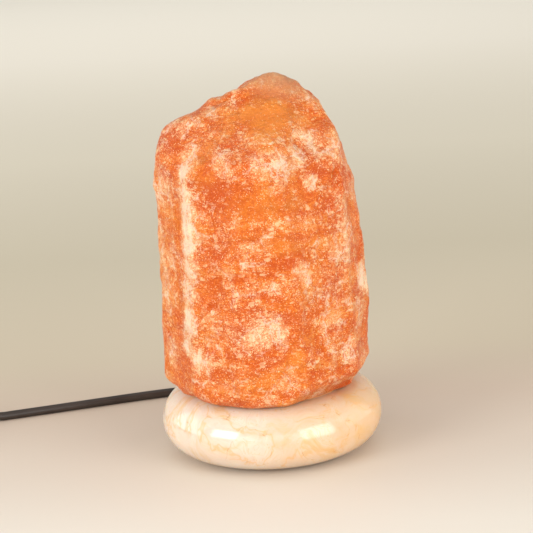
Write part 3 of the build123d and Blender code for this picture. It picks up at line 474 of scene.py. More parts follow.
def plastic(name, hex_colour, roughness, grain_mm, depth_mm, second=None):
    """A moulded, extruded or cast plastic or rubber: one colour with a faint cloud, a fine skin.

    The skin's grain is drawn at grain_mm, coarse enough to show, and stands depth_mm high. second is
    the cloud's colour, where it isn't simply lighter.
    """
    material, add, shader, place = start_material(name)
    cloud = add(NOISE, {"Vector": place, "Scale": 1 / (14 * MM), "Detail": 4})
    colour = linear(hex_colour)
    lighter = linear(second) if second else tuple(min(1, channel * 1.5 + 0.004) for channel in colour)
    tint = add(RAMP, {"Fac": cloud}, stops=[(0.35, colour), (0.75, lighter)])
    skin = add(NOISE, {"Vector": place, "Scale": 1 / (grain_mm * MM), "Detail": 3})
    gloss = add(MAP_RANGE, {"Value": skin, "To Min": roughness * 0.8, "To Max": min(1, roughness * 1.25)})
    bump = add(BUMP, {"Height": skin, "Strength": 0.5, "Distance": depth_mm * MM})
    set_inputs(shader, {"Base Color": tint, "Roughness": gloss, "Normal": bump})
    return material


def metal(name, hex_colour, roughness, streak=(1, 1, 12)):
    """A rolled, drawn or plated metal: faint streaks along its working direction.

    streak says how finely they are spaced along each axis.
    """
    material, add, shader, place = start_material(name)
    stretched = add(MAPPING, {"Vector": place, "Scale": streak})
    streaks = add(NOISE, {"Vector": stretched, "Scale": 1 / (3 * MM), "Detail": 5})
    colour = linear(hex_colour)
    worn = tuple(channel * 0.72 for channel in colour)
    tint = add(RAMP, {"Fac": streaks}, stops=[(0.3, worn), (0.6, colour)])
    gloss = add(MAP_RANGE, {"Value": streaks, "To Min": roughness * 0.7, "To Max": roughness * 1.4})
    bump = add(BUMP, {"Height": streaks, "Strength": 0.3, "Distance": 0.05 * MM})
    set_inputs(shader, {"Base Color": tint, "Roughness": gloss, "Normal": bump, "Metallic": 1.0})
    return material


def clear_glass():
    """Soda-lime glass, blown: clear, with faint waves in its wall."""
    material, add, shader, place = start_material("soda_glass_blown")
    waves = add(NOISE, {"Vector": place, "Scale": 1 / (9 * MM), "Detail": 2})
    bump = add(BUMP, {"Height": waves, "Strength": 0.2, "Distance": 0.1 * MM})
    set_inputs(shader, {
        "Normal": bump, "Base Color": (*linear("#F7FAF8"), 1), "Roughness": 0.03,
        "Transmission Weight": 1.0, "IOR": 1.5,
    })
    return material


def two_core_plastic(name, turn, centre):
    """Extruded PVC on two cores: brown on one side of a line through centre, blue on the other."""
    material, add, shader, place = start_material(name)
    across = add(
        MAPPING, {"Vector": place, "Location": centre, "Rotation": (0, 0, turn)}, vector_type="TEXTURE"
    )
    side = add("ShaderNodeSeparateXYZ", (across,))
    which = add(MATH, (side, 0.0), operation="GREATER_THAN")
    tint = add(
        MIX, {0: which, 6: (*linear("#6B3A1E"), 1), 7: (*linear("#2A5C93"), 1)}, data_type="RGBA"
    ).outputs[2]
    drawn = add(NOISE, {"Vector": place, "Scale": 1 / (1.2 * MM), "Detail": 2})
    bump = add(BUMP, {"Height": drawn, "Strength": 0.3, "Distance": 0.05 * MM})
    set_inputs(shader, {"Base Color": tint, "Normal": bump, "Roughness": 0.5})
    return material


def felt():
    """Pressed wool felt, cut: matt, with a fuzzy grain of 0.6 mm."""
    material, add, shader, place = start_material("wool_felt_cut")
    fuzz = add(NOISE, {
        "Vector": place, "Scale": 1 / (0.6 * MM), "Detail": 4, "Roughness": 0.8, "Distortion": 1.5,
    })
    tint = add(RAMP, {"Fac": fuzz}, stops=[(0.3, linear("#3A2C22")), (0.7, linear("#6A5444"))])
    bump = add(BUMP, {"Height": fuzz, "Strength": 0.9, "Distance": 0.3 * MM})
    set_inputs(shader, {"Base Color": tint, "Normal": bump, "Roughness": 0.95, "Sheen Weight": 0.4})
    return material


# ------------------------------------------------------------- the mains lead
# Heights at which the lead runs, and its control points in metres: it bends at each of them.
LEAD_Z = 2.5 * MM
SWITCH_Z = 9.5 * MM
PLUG_Z = 6.85 * MM
LEAD_TO_SWITCH = [
    (0, 0, 0.0418),
    (0, 0, LEAD_Z),
    (0, 0.052, LEAD_Z),
    (0, 0.086, LEAD_Z),
    (-0.0275, 0.107, LEAD_Z),
    (-0.150, 0.070, LEAD_Z),
    (-0.163, 0.0661, LEAD_Z),
    (-0.1745, 0.0626, SWITCH_Z),
    (-0.184, 0.0598, SWITCH_Z),
]
SWITCH_TO_COIL = [
    (-0.2778, 0.0317, SWITCH_Z),
    (-0.3008, 0.0248, SWITCH_Z),
    (-0.314, 0.003, LEAD_Z),
    (-0.314, -0.022, LEAD_Z),
]
COIL_START = (-0.314, -0.027, LEAD_Z)
COIL_TO_PLUG = [
    (-0.3195, -0.032, 0.019),
    (-0.3195, -0.053, 0.019),
    (-0.304, -0.075, 0.011),
    (-0.280, -0.078, PLUG_Z),
    (-0.262, -0.078, PLUG_Z),
]
# Half turns of the coil: how many half pitches each is drawn in, and whether it climbs.
COIL_HALF_TURNS = [
    (1, 0), (2, 0), (3, 1), (2, 0), (1, 0), (0, 0), (-1, 1),
    (0, 0), (1, 0), (2, 0), (3, 1), (2, 0), (1, 0), (0, 0),
]
POINTS_PER_HALF_TURN = 6


def coil_points(settings):
    """Control points for the coil: six to each half turn, set out so the line keeps its radius."""
    step = math.pi / POINTS_PER_HALF_TURN
    reach = 4 / (3 + math.cos(step))
    points = []
    x, y, z = COIL_START
    way = 1
    for drawn_in, climbs in COIL_HALF_TURNS:
        radius = settings.coil_radius - drawn_in * settings.turn_pitch / 2
        middle = x + way * radius
        for number in range(POINTS_PER_HALF_TURN):
            turn = (number + 0.5) * step
            lift = climbs * settings.turn_pitch * (1 - math.cos(turn)) / 2
            across = way * reach * radius * math.cos(turn)
            along = way * reach * radius * math.sin(turn)
            points.append((middle - across, y - along, z + lift))
        x = middle + way * radius
        z += climbs * settings.turn_pitch
        way = -way
    return points


def lead_curve(name, points, diameter, material):
    """A round lead on one smooth line with these control points."""
    curve = bpy.data.curves.new(name, "CURVE")
    curve.dimensions = "3D"
    curve.resolution_u = 10
    curve.bevel_depth = diameter / 2
    curve.bevel_resolution = 5
    curve.use_fill_caps = True
    spline = curve.splines.new("NURBS")
    spline.points.add(len(points) - 1)
    for point, place in zip(spline.points, points):
        point.co = (*place, 1)
    spline.order_u = 3
    spline.use_endpoint_u = True
    spline.use_smooth = True
    curve.materials.append(material)
    return add_object(name, curve)


def ribbed_boot(material):
    """A tree for a tapered boot with rounded ribs from one point to another."""
    tree, add, given = start_tree(
        "Ribbed boot", Start="Vector", End="Vector", Root_radius="Float", Tip_radius="Float",
        Ribs="Int", Rib_depth="Float",
    )
    line = add("GeometryNodeCurvePrimitiveLine", {"Start": given["Start"], "End": given["End"]})
    fine = add("GeometryNodeResampleCurve", {"Curve": line, "Count": 110})
    along = add("GeometryNodeSplineParameter").outputs["Factor"]
    taper = add(
        MAP_RANGE, {"Value": along, "To Min": given["Root radius"], "To Max": given["Tip radius"]}
    )
    turns = add(MATH, (given["Ribs"], math.tau), operation="MULTIPLY")
    phase = add(MATH, (along, turns), operation="MULTIPLY")
    wave = add(MATH, (phase,), operation="COSINE")
    groove = add(
        MAP_RANGE,
        {"Value": wave, "From Min": -1, "From Max": 0.1, "To Min": given["Rib depth"], "To Max": 0.0},
    )
    radius = add(MATH, (taper, groove), operation="SUBTRACT")
    sized = add("GeometryNodeSetCurveRadius", {"Curve": fine, "Radius": radius})
    ring = add(CIRCLE, {"Resolution": 36, "Radius": 1.0})
    tube = add(CURVE_TO_MESH, {"Curve": sized, "Profile Curve": ring, "Scale": radius, "Fill Caps": True})
    return end_tree(tree, tube, material)


def rolled_sleeve(material):
    """A tree for a thin rolled sleeve: a thread pressed into it, a flared lip and a bottom flange."""
    tree, add, given = start_tree(
        "Rolled sleeve", Radius="Float", Bottom="Float", Top="Float", Lip_height="Float",
        Lip_flare="Float", Wall="Float", Pitch="Float", Depth="Float", Flange_width="Float",
    )
    sheet = add(
        "GeometryNodeMeshGrid", {"Size X": 1.0, "Size Y": 1.0, "Vertices X": 73, "Vertices Y": 91}
    )
    flat = add("ShaderNodeSeparateXYZ", (add("GeometryNodeInputPosition"),))
    height = add(
        MAP_RANGE,
        {"Value": flat.outputs[1], "From Min": -0.5, "From Max": 0.5, "To Min": given["Bottom"],
         "To Max": given["Top"]},
    )
    angle = add(MATH, (flat, math.tau), operation="MULTIPLY")
    lip_foot = add(MATH, (given["Top"], given["Lip height"]), operation="SUBTRACT")
    flare = add(
        MAP_RANGE,
        {"Value": height, "From Min": lip_foot, "From Max": given["Top"], "To Max": given["Lip flare"]},
    )
    # the thread fades in over one pitch above the bottom and out below the lip
    foot = add(MATH, (given["Bottom"], given["Pitch"]), operation="ADD")
    head = add(MATH, (lip_foot, given["Pitch"]), operation="SUBTRACT")
    fade_in = add(MAP_RANGE, {"Value": height, "From Min": given["Bottom"], "From Max": foot})
    fade_out = add(
        MAP_RANGE, {"Value": height, "From Min": head, "From Max": lip_foot, "To Min": 1.0, "To Max": 0.0}
    )
    turned = add(MATH, (height, given["Pitch"]), operation="DIVIDE")
    phase = add(MATH, (turned, math.tau, angle), operation="MULTIPLY_ADD")
    wave = add(MATH, (phase,), operation="COSINE")
    groove = add(
        MAP_RANGE,
        {"Value": wave, "From Min": -1.0, "From Max": 1.0, "To Min": given["Depth"], "To Max": 0.0},
    )
    for fade in (fade_in, fade_out):
        groove = add(MATH, (groove, fade), operation="MULTIPLY")
    reach = add(MATH, (given["Radius"], flare), operation="ADD")
    reach = add(MATH, (reach, groove), operation="SUBTRACT")
    # the angle runs against the thread's rise, so the thread is right-handed
    around = add(MATH, (angle, -1.0), operation="MULTIPLY")
    rod = add(COMBINE, (add(MATH, (around,), operation="COSINE"), add(MATH, (around,), operation="SINE")))
    ring = add(VECTOR_MATH, {0: rod, "Scale": reach}, operation="SCALE")
    place = add(VECTOR_MATH, (ring, add(COMBINE, {2: height})), operation="ADD")
    tube = add(SET_POSITION, {"Geometry": sheet, "Position": place})
    closed = add("GeometryNodeMergeByDistance", {"Geometry": tube, "Distance": WELD})
    inner = add(
        "GeometryNodeExtrudeMesh", {"Mesh": closed, "Offset Scale": given["Wall"], "Individual": False}
    )
    outer = add("GeometryNodeFlipFaces", {"Mesh": closed})
    # the flange is a flat ring as thick as the wall, in the foot of the sleeve
    half = add(MATH, (given["Flange width"], 0.5), operation="MULTIPLY")
    middle = add(MATH, (given["Radius"], half), operation="ADD")
    middle = add(MATH, (middle, given["Wall"]), operation="SUBTRACT")
    circle = add(CIRCLE, {"Resolution": 72, "Radius": middle})
    section = add(
        "GeometryNodeCurvePrimitiveQuadrilateral",
        {"Width": given["Flange width"], "Height": given["Wall"]},
    )
    washer = add(CURVE_TO_MESH, {"Curve": circle, "Profile Curve": section})
    lift = add(MATH, (given["Wall"], 0.5, given["Bottom"]), operation="MULTIPLY_ADD")
    set_down = add(SET_POSITION, {"Geometry": washer, "Offset": add(COMBINE, {2: lift})})
    joined = add("GeometryNodeJoinGeometry")
    for part in (set_down, outer, inner):
        set_inputs(joined, {0: part})
    merged = add("GeometryNodeMergeByDistance", {"Geometry": joined, "Distance": WELD})
    return end_tree(tree, merged, material)


def wound_filament(material):
    """A tree for a wound filament in a shallow V between the tips of two bent wires."""
    tree, add, given = start_tree(
        "Wound filament", Foot="Float", Spacing="Float", Span="Float", Rise="Float", Sag="Float",
        Turns="Int", Coil="Float", Wire="Float", Support="Float",
    )
    line = add("GeometryNodeCurvePrimitiveLine", {"Start": (-0.5, 0, 0), "End": (0.5, 0, 0)})
    fine = add("GeometryNodeResampleCurve", {"Curve": line, "Count": 1100})
    along = add("GeometryNodeSplineParameter").outputs["Factor"]
    centred = add(MATH, (along, 0.5), operation="SUBTRACT")
    across = add(MATH, (centred, given["Span"]), operation="MULTIPLY")
    away = add(MATH, (centred,), operation="ABSOLUTE")
    dip = add(
        MAP_RANGE,
        {"Value": away, "From Min": 0.0, "From Max": 0.5, "To Min": given["Sag"], "To Max": 0.0},
    )
    level = add(MATH, (given["Foot"], given["Rise"]), operation="ADD")
    height = add(MATH, (level, dip), operation="SUBTRACT")
    turns = add(MATH, (given["Turns"], math.tau), operation="MULTIPLY")
    angle = add(MATH, (along, turns), operation="MULTIPLY")
    sideways = add(MATH, (angle,), operation="COSINE")
    upward = add(MATH, (angle,), operation="SINE")
    swing = add(MATH, (sideways, given["Coil"]), operation="MULTIPLY")
    wound = add(MATH, (upward, given["Coil"], height), operation="MULTIPLY_ADD")
    place = add(COMBINE, (across, swing, wound))
    helix = add(SET_POSITION, {"Geometry": fine, "Position": place})
    thin = add(CIRCLE, {"Resolution": 6, "Radius": given["Wire"]})
    coil = add(CURVE_TO_MESH, {"Curve": helix, "Profile Curve": thin, "Fill Caps": True})
    joined = add("GeometryNodeJoinGeometry")
    set_inputs(joined, {0: coil})
    thick = add(CIRCLE, {"Resolution": 12, "Radius": given["Support"]})
    for side in (-0.5, 0.5):
        foot = add(MATH, (given["Spacing"], side), operation="MULTIPLY")
        tip = add(MATH, (given["Span"], side), operation="MULTIPLY")
        bend = add(MATH, (given["Rise"], 0.5, given["Foot"]), operation="MULTIPLY_ADD")
        arch = add(
            "GeometryNodeCurveQuadraticBezier",
            {"Resolution": 16,
             "Start": add(COMBINE, {0: foot, 2: given["Foot"]}),
             "Middle": add(COMBINE, {0: foot, 2: bend}),
             "End": add(COMBINE, {0: tip, 2: level})},
        )
        wire = add(CURVE_TO_MESH, {"Curve": arch, "Profile Curve": thick, "Fill Caps": True})
        set_inputs(joined, {0: wire})
    return end_tree(tree, joined, material)


# How much a noise is stretched about its middle so that it spans its height.
NOISE_STRETCH = 2.5


def hewn_relief(material):
    """A tree that hews a smooth block: tilted chisel flats, slow swells, beds and broken grain.

    It moves only where the point attribute "hewn" is above nothing.
    """
    tree, add, given = start_tree(
        "Hewn relief", Chip_size="Float", Chip_tilt="Float", Swell="Float", Strata="Float",
        Grain="Float", Seed="Int",
    )
    here = add("GeometryNodeInputPosition")
    seeded = add(COMBINE, (given["Seed"], given["Seed"]))
    shifted = add(VECTOR_MATH, (here, seeded), operation="ADD")
    warp = add(NOISE, {"Vector": shifted, "Scale": 1 / (16 * MM), "Detail": 3}).outputs["Color"]
    bent = add(VECTOR_MATH, (warp, (11 * MM, 11 * MM, 11 * MM), shifted), operation="MULTIPLY_ADD")
    density = add(MATH, (1.0, given["Chip size"]), operation="DIVIDE")
    cells = add(CELLS, {"Vector": bent, "Scale": density})
    across = add(VECTOR_MATH, (bent, cells.outputs["Position"]), operation="SUBTRACT")
    lean = add(VECTOR_MATH, (cells.outputs["Color"], (0.5, 0.5, 0.5)), operation="SUBTRACT")
    slope = add(VECTOR_MATH, (across, lean), operation="DOT_PRODUCT").outputs["Value"]
    flats = add(MATH, (slope, given["Chip tilt"]), operation="MULTIPLY")
    height = add("GeometryNodeBlurAttribute", {"Value": flats, "Iterations": 2})
    layered = add(VECTOR_MATH, (shifted, (0.35, 0.35, 2.6)), operation="MULTIPLY")
    # noise keeps near its middle value, so each is stretched to fill its height
    for source, pitch, detail, share in (
        (shifted, 44, 1.0, "Swell"),
        (layered, 16, 5.0, "Strata"),
        (shifted, 4.2, 5.0, "Grain"),
    ):
        noise = add(
            NOISE, {"Vector": source, "Scale": 1 / (pitch * MM), "Detail": detail, "Roughness": 0.6}
        )
        centred = add(MATH, (noise, 0.5), operation="SUBTRACT")
        stretched = add(MATH, (centred, NOISE_STRETCH), operation="MULTIPLY")
        height = add(MATH, (stretched, given[share], height), operation="MULTIPLY_ADD")
    hewn = add(
        "GeometryNodeInputNamedAttribute", {"Name": "hewn"}, data_type="FLOAT"
    ).outputs["Attribute"]
    height = add(MATH, (height, hewn), operation="MULTIPLY")
    offset = add(VECTOR_MATH, {0: add("GeometryNodeInputNormal"), "Scale": height}, operation="SCALE")
    moved = add(SET_POSITION, {"Geometry": given["Geometry"], "Offset": offset})
    return end_tree(tree, moved, material)


# ------------------------------------------------------------------ the block
# Dents (+) and bumps (-) on the block: x, y, z, radius and depth in mm.
DENTS = [
    (-44, -5, 176, 36, -4.4), (-20, 0, 192, 15, -2.2), (-33, -2, 188, 5, 1.2), (18, 0, 199, 13, -1.2),
    (6, 2, 198, 14, -3.4), (-24, 2, 191, 9, -1.6), (-56, 0, 163, 14, 2.2), (43, -10, 156, 12, 1.6),
    (40, -6, 170, 24, -2.6), (50, -8, 135, 15, 2.3), (56, -7, 97, 7, 2.2), (57, -8, 88, 6, -0.8),
    (56, -10, 64, 22, 2.8), (52, -14, 120, 9, 0.8), (-57, 0, 118, 12, -0.8),
    (12, 4, 199, 13, -2.8), (-24, 10, 188, 7, 1.8), (-10, -3, 194, 8, -1.8), (43, -19, 160, 11, 1.9),
    (-44, -20, 41, 8, -2.2),
]
# Cloudy spots, among them a painted highlight, iron-stained spots and a pale grey spot at the peak on the
# block: x, y, z, radius in mm and strength.
CLOUDY_AND_HIGHLIGHT = [
    # the first twelve run down the left front ridge: a painted highlight, pale where the light catches the
    # ridge
    (-36, -27, 169, 7, 0.7), (-37, -31, 159, 7, 1.3), (-38, -34, 149, 7, 1.2),
    (-38, -35, 140, 7, 1.4), (-39, -35, 131, 7, 1.6), (-39, -35, 122, 7, 1.6),
    (-39, -35, 113, 7, 1.4), (-40, -34, 104, 6, 1.3), (-40, -34, 95, 7, 1.5),
    (-41, -33, 86, 6, 1.5), (-41, -33, 77, 6, 1.4), (-42, -32, 68, 7, 1.3), (-24, -11, 187, 6, 0.6),
    (1, -48, 163, 8, 0.9), (11, -47, 164, 8, 1.2), (21, -39, 164, 6, 0.9),
    (26, -36, 153, 5, 1.5), (27, -25, 171, 9, 1.0), (-17, -45, 166, 7, 0.5),
    (-50, -14, 148, 13, 0.6), (-53, -10, 115, 12, 0.5), (-54, -9, 87, 13, 0.5),
    (-52, -12, 62, 10, 0.6), (44, -25, 132, 12, 0.6), (43, -27, 110, 10, 0.5),
    (36, -34, 89, 10, 0.5), (50, -15, 76, 9, 0.4), (-8, -50, 122, 8, 0.4),
    (20, -45, 107, 7, 1.0), (53, -7, 93, 8, 1.8), (4, -49, 100, 4, 0.9),
    (-1, -51, 77, 12, 1.0), (-36, -39, 61, 8, 1.1), (43, -31, 60, 8, 0.9),
    (-44, -12, 177, 11, 0.5), (40, -20, 167, 9, 0.6),
    (-38, -26, 41, 7, 0.9), (-24, -38, 40, 6, 0.7), (-8, -43, 39, 6, 0.5), (10, -43, 39, 6, 0.6),
]
STAINED = [
    (6, -20, 185, 13, 1.0), (12, -47, 125, 8, 0.4),
    (-12, -47, 143, 8, 0.4), (4, -48, 143, 8, 0.4), (18, -45, 143, 8, 0.4),
    (-27, -41, 157, 10, 0.4),
]
# a greyish pale patch on the top of the peak
GREY_PEAK = [(12, 4, 199, 15, 0.8)]


# A spot is full out to the first share of its radius, and fades to nothing at the second.
SPOT_FULL = 1 / 2
SPOT_END = 4 / 3
# Sizes in mm of what stays unhewn, the bore and the underside, and of the fade beside it.
UNHEWN_RADIUS = 25
UNHEWN_TOP = 144
BORE_FADE = 4
FOOT_FADE = 3
# Sharp arrises are painted pale, partly as worn salt and partly as a painted highlight where the light
# catches the ridges.
# How far in mm a point stands out from its neighbours' mean where it starts to be worn and where
# it is fully worn.
WORN_FROM = 0.12
WORN_FULL = 0.52


def spots(points, marks):
    """How strongly each point lies in the marked spots."""
    strength = np.zeros(len(points))
    for x, y, z, radius, share in marks:
        away = np.linalg.norm(points - np.array((x, y, z)) * MM, axis=1) / (radius * MM)
        near = np.clip((SPOT_END - away) / (SPOT_END - SPOT_FULL), 0, 1)
        strength = np.maximum(strength, share * near)
    return strength


def mesh_arrays(mesh):
    """A mesh's points, point normals and edges as arrays."""
    points = np.empty(len(mesh.vertices) * 3)
    mesh.vertices.foreach_get("co", points)
    normals = np.empty(len(mesh.vertices) * 3)
    mesh.vertices.foreach_get("normal", normals)
    edges = np.empty(len(mesh.edges) * 2, dtype=int)
    mesh.edges.foreach_get("vertices", edges)
    return points.reshape(-1, 3), normals.reshape(-1, 3), edges.reshape(-1, 2)


def neighbours_mean(values, edges, rounds):
    """Values averaged with their neighbours' along the mesh's edges, this many times."""
    for _ in range(rounds):
        total = values.copy()
        count = np.ones(len(values))
        for near, far in ((0, 1), (1, 0)):
            np.add.at(total, edges[:, near], values[edges[:, far]])
            np.add.at(count, edges[:, near], 1)
        values = total / (count[:, None] if values.ndim == 2 else count)
    return values


def store(mesh, name, values):
    """Writes one number at each of the mesh's points."""
    attribute = mesh.attributes.get(name) or mesh.attributes.new(name, "FLOAT", "POINT")
    attribute.data.foreach_set("value", values.astype(np.float32))


def hew_block(settings):
    """The block of salt: the source's form, hewn finer, with its stains, its pale arrises (worn salt and in
    part a painted highlight) and a painted highlight down its left front ridge.
    """
    piece = cad_copy("salt_block", "salt_crystal")
    remesh = piece.modifiers.new("Even skin", "REMESH")
    remesh.mode = "VOXEL"
    remesh.voxel_size = settings.mesh_size
    keep_result(piece)
    points, normals, edges = mesh_arrays(piece.data)
    depth = np.zeros(len(points))
    for x, y, z, radius, deep in DENTS:
        away = np.linalg.norm(points - np.array((x, y, z)) * MM, axis=1) / (radius * MM)
        depth += deep * MM * np.clip(1 - away**2, 0, 1) ** 2
    points -= normals * depth[:, None]
    piece.data.vertices.foreach_set("co", points.ravel())
    # the underside and the bore stay as they are: nothing there is hewn
    bottom = points[:, 2].min()
    outside = np.clip((np.hypot(points[:, 0], points[:, 1]) / MM - UNHEWN_RADIUS) / BORE_FADE, 0, 1)
    above_bore = np.clip((points[:, 2] / MM - UNHEWN_TOP) / BORE_FADE, 0, 1)
    raised = np.clip((points[:, 2] - bottom) / (FOOT_FADE * MM), 0, 1)
    hewn = np.maximum(outside, above_bore) * raised
    store(piece.data, "hewn", neighbours_mean(hewn, edges, rounds=3))
    values = {
        "Chip size": settings.chip_size, "Chip tilt": settings.chip_tilt, "Swell": settings.swell,
        "Strata": settings.strata, "Grain": settings.grain, "Seed": settings.seed,
    }
    run_tree(piece, hewn_relief(rock_salt(settings)), values)
    points, normals, edges = mesh_arrays(piece.data)
    inset = neighbours_mean(points, edges, rounds=4)
    sharpness = np.einsum("ij,ij->i", points - inset, normals) / MM
    sharpness = neighbours_mean(sharpness, edges, rounds=2)
    # worn: pale arrises, partly worn salt and partly a painted highlight on the ridges
    worn = np.clip((sharpness - WORN_FROM) / (WORN_FULL - WORN_FROM), 0, 1)
    store(piece.data, "worn", worn)
    for name, marks in (("cloudy", CLOUDY_AND_HIGHLIGHT), ("stained", STAINED), ("dusty", GREY_PEAK)):
        store(piece.data, name, neighbours_mean(spots(points, marks), edges, rounds=2))
    smooth(piece)
    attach(piece, "stone_body")
    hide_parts("salt_crystal")


# ------------------------------------------------------------------ the stage
# Where the camera stands and how it is turned, fitted to the photograph's outlines.
CAMERA_PLACE = (0, -0.9489, 0.3307)
CAMERA_DOWN = math.radians(13.644)
CAMERA_YAW = math.radians(0.08)
CAMERA_ROLL = math.radians(3.2)
# The floor's front and back edges along +Y and half its width, in metres.
FLOOR_FRONT = -0.6
FLOOR_BACK = 3.4
FLOOR_HALF_WIDTH = 3
# The floor's colours from front to back, each at its distance along +Y: painted shade, darkest just behind
# the lamp and lighter in front and far behind.
FLOOR_PAINTED_SHADE = [
    (-0.13, "#DBD4C8"), (0.077, "#CDBBA9"), (0.18, "#CDC0A9"), (0.467, "#CEC4AD"),
    (0.93, "#E4DCC8"), (1.8, "#EFE9DB"), (2.64, "#F3EEE1"),
]


def soft_light(name, place, aim, width, height, power):
    """A white rectangular softbox at place, facing aim."""
    light = bpy.data.lights.new(name, "AREA")
    light.shape = "RECTANGLE"
    light.size = width
    light.size_y = height
    light.energy = power
    lamp = add_object(name, light)
    lamp.location = place
    lamp.rotation_euler = (Vector(aim) - Vector(place)).to_track_quat("-Z", "Y").to_euler()


def pale_floor():
    """Matt paper sweep, pale and warm: its colour holds painted shade, darkest just behind the lamp and
    lighter in front and far behind.
    """
    material, add, shader, place = start_material("paper_matt")
    depth = add("ShaderNodeSeparateXYZ", (place,)).outputs[1]
    share = add(MAP_RANGE, {"Value": depth, "From Min": FLOOR_FRONT, "From Max": FLOOR_BACK})
    tints = [((y - FLOOR_FRONT) / (FLOOR_BACK - FLOOR_FRONT), linear(tint)) for y, tint in FLOOR_PAINTED_SHADE]
    tone = add(RAMP, {"Fac": share}, stops=tints)
    set_inputs(shader, {"Base Color": tone, "Roughness": 0.6})
    return material


def set_stage(settings):
    """Camera at the photograph's angle, a pale floor, seven soft lights and the room's light."""
    scene = bpy.context.scene
    scene.view_settings.view_transform = "Standard"
    ahead = math.cos(CAMERA_DOWN)
    down = math.sin(CAMERA_DOWN)
    forward = Vector((math.sin(CAMERA_YAW) * ahead, math.cos(CAMERA_YAW) * ahead, -down))
    level = forward.cross(Vector((0, 0, 1))).normalized()
    upright = level.cross(forward)
    right = level * math.cos(CAMERA_ROLL) - upright * math.sin(CAMERA_ROLL)
    up = level * math.sin(CAMERA_ROLL) + upright * math.cos(CAMERA_ROLL)
    data = bpy.data.cameras.new("Camera")
    data.lens = settings.lens
    data.clip_start = 0.02
    data.clip_end = 30
    camera = add_object("Camera", data)
    turned = Matrix((right, up, -forward)).transposed().to_4x4()
    camera.matrix_world = Matrix.Translation(CAMERA_PLACE) @ turned
    scene.camera = camera

    floor = empty_piece("floor")
    shape = bmesh.new()
    corners = ((-1, FLOOR_FRONT), (1, FLOOR_FRONT), (1, FLOOR_BACK), (-1, FLOOR_BACK))
    shape.faces.new([shape.verts.new((side * FLOOR_HALF_WIDTH, y, 0)) for side, y in corners])
    shape.to_mesh(floor.data)
    shape.free()
    floor.data.materials.append(pale_floor())

    middle = (0, 0, 0.09)
    # name, place, what it faces, width, height and power
    for row in (
        ("Left softbox", (-0.92, -0.75, 0.42), middle, 0.6, 0.5, settings.key_power),
        ("Right softbox", (0.86, -0.82, 0.36), middle, 0.8, 0.8, settings.fill_power),
        ("Overhead", (0, -0.35, 1.35), middle, 1.6, 1.6, settings.top_power),
        ("Backdrop light", (-0.35, 2.0, 1.9), (-0.3, 3.6, 0.6), 3.0, 2.0, settings.back_power),
        ("Left wall", (-1.4, 0.25, 0.5), middle, 1.2, 1.0, settings.left_power),
        ("Right wall", (1.4, 0.25, 0.5), middle, 1.2, 1.0, settings.right_power),
        ("Front fill", (0, -1.5, 0.33), (0, 0, 0.03), 2.0, 0.6, settings.front_power),
    ):
        soft_light(*row)
    world = bpy.data.worlds.new("Room")
    world.use_nodes = True
    room = world.node_tree.nodes["Background"]
    warm_white = (*linear("#FFFBF4"), 1)
    set_inputs(room, {"Color": warm_white, "Strength": settings.world_strength})
    scene.world = world


# -------------------------------------------------------------- the other pieces
# In-line switch: its middle, its direction, and where its boots leave and end (metres).
SWITCH_MIDDLE = Vector((-0.2309, 0.04575, SWITCH_Z))
SWITCH_ALONG = Vector((-0.95794, -0.28697, 0))
SWITCH_HALF = 0.029
BOOT_END = 0.04896
PLUG_BOOT = (Vector((-0.240, -0.078, PLUG_Z)), Vector((-0.262, -0.078, PLUG_Z)))


def boots(name, node, ends, root, tip, ribs, material):
    """One piece of ribbed boots in place of a node: each runs from its first point to its second.

    root and tip are its radii there, in mm.
    """
    tree = ribbed_boot(material)
    shape = bmesh.new()
    for start, end in ends:
        boot = empty_piece("Boot")
        values = {
            "Start": tuple(start), "End": tuple(end), "Root radius": root * MM,
            "Tip radius": tip * MM, "Ribs": ribs, "Rib depth": 0.55 * MM,
        }
        run_tree(boot, tree, values)
        shape.from_mesh(boot.data)
        bpy.data.objects.remove(boot)
    bmesh.ops.remove_doubles(shape, verts=shape.verts, dist=WELD)
    bmesh.ops.recalc_face_normals(shape, faces=shape.faces)
    piece = empty_piece(name)
    shape.to_mesh(piece.data)
    shape.free()
    piece.data.materials.append(material)
    smooth(piece, 40)
    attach(piece, "power_unit")
    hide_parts(node)
    return piece


def lay_lead(settings):
    """The mains lead: into the disc and on to the switch, then to the coil and the plug."""
    sheath = plastic("pvc_extruded", "#2C221C", 0.4, 1.6, 0.04)
    rubber = plastic("pvc_boot_moulded", "#241D19", 0.5, 1.0, 0.03)
    ends = [
        (SWITCH_MIDDLE + way * SWITCH_HALF * SWITCH_ALONG, SWITCH_MIDDLE + way * BOOT_END * SWITCH_ALONG)
        for way in (-1, 1)
    ]
    switch_boots = boots(
        "ribbed_switch_boots", "switch_boots", ends, root=4.4, tip=3.2, ribs=settings.boot_ribs,
        material=rubber,
    )
    plug_boot = boots(
        "ribbed_plug_boot", "plug_boot", [PLUG_BOOT], root=4.6, tip=3.2, ribs=settings.boot_ribs,
        material=rubber,
    )
    first = lead_curve("lead_to_switch", LEAD_TO_SWITCH, settings.diameter, sheath)
    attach(first, "power_unit")
    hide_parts("lead_in_base")
    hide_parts("cord_run")
    points = SWITCH_TO_COIL + coil_points(settings) + COIL_TO_PLUG
    second = lead_curve("lead_to_plug", points, settings.diameter, sheath)
    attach(second, "power_unit")
    for node in ("cord_link", "cord_coil", "cord_tail"):
        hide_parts(node)


def finish_disc(settings):
    """The turned stone disc, its pads and the adhesive under the block."""
    dress(polished_stone(settings), "stone_base")
    dress(felt(), "base_pads")
    dress(plastic("epoxy_cast", "#C4814A", 0.45, 2.0, 0.05), "bond_layer")


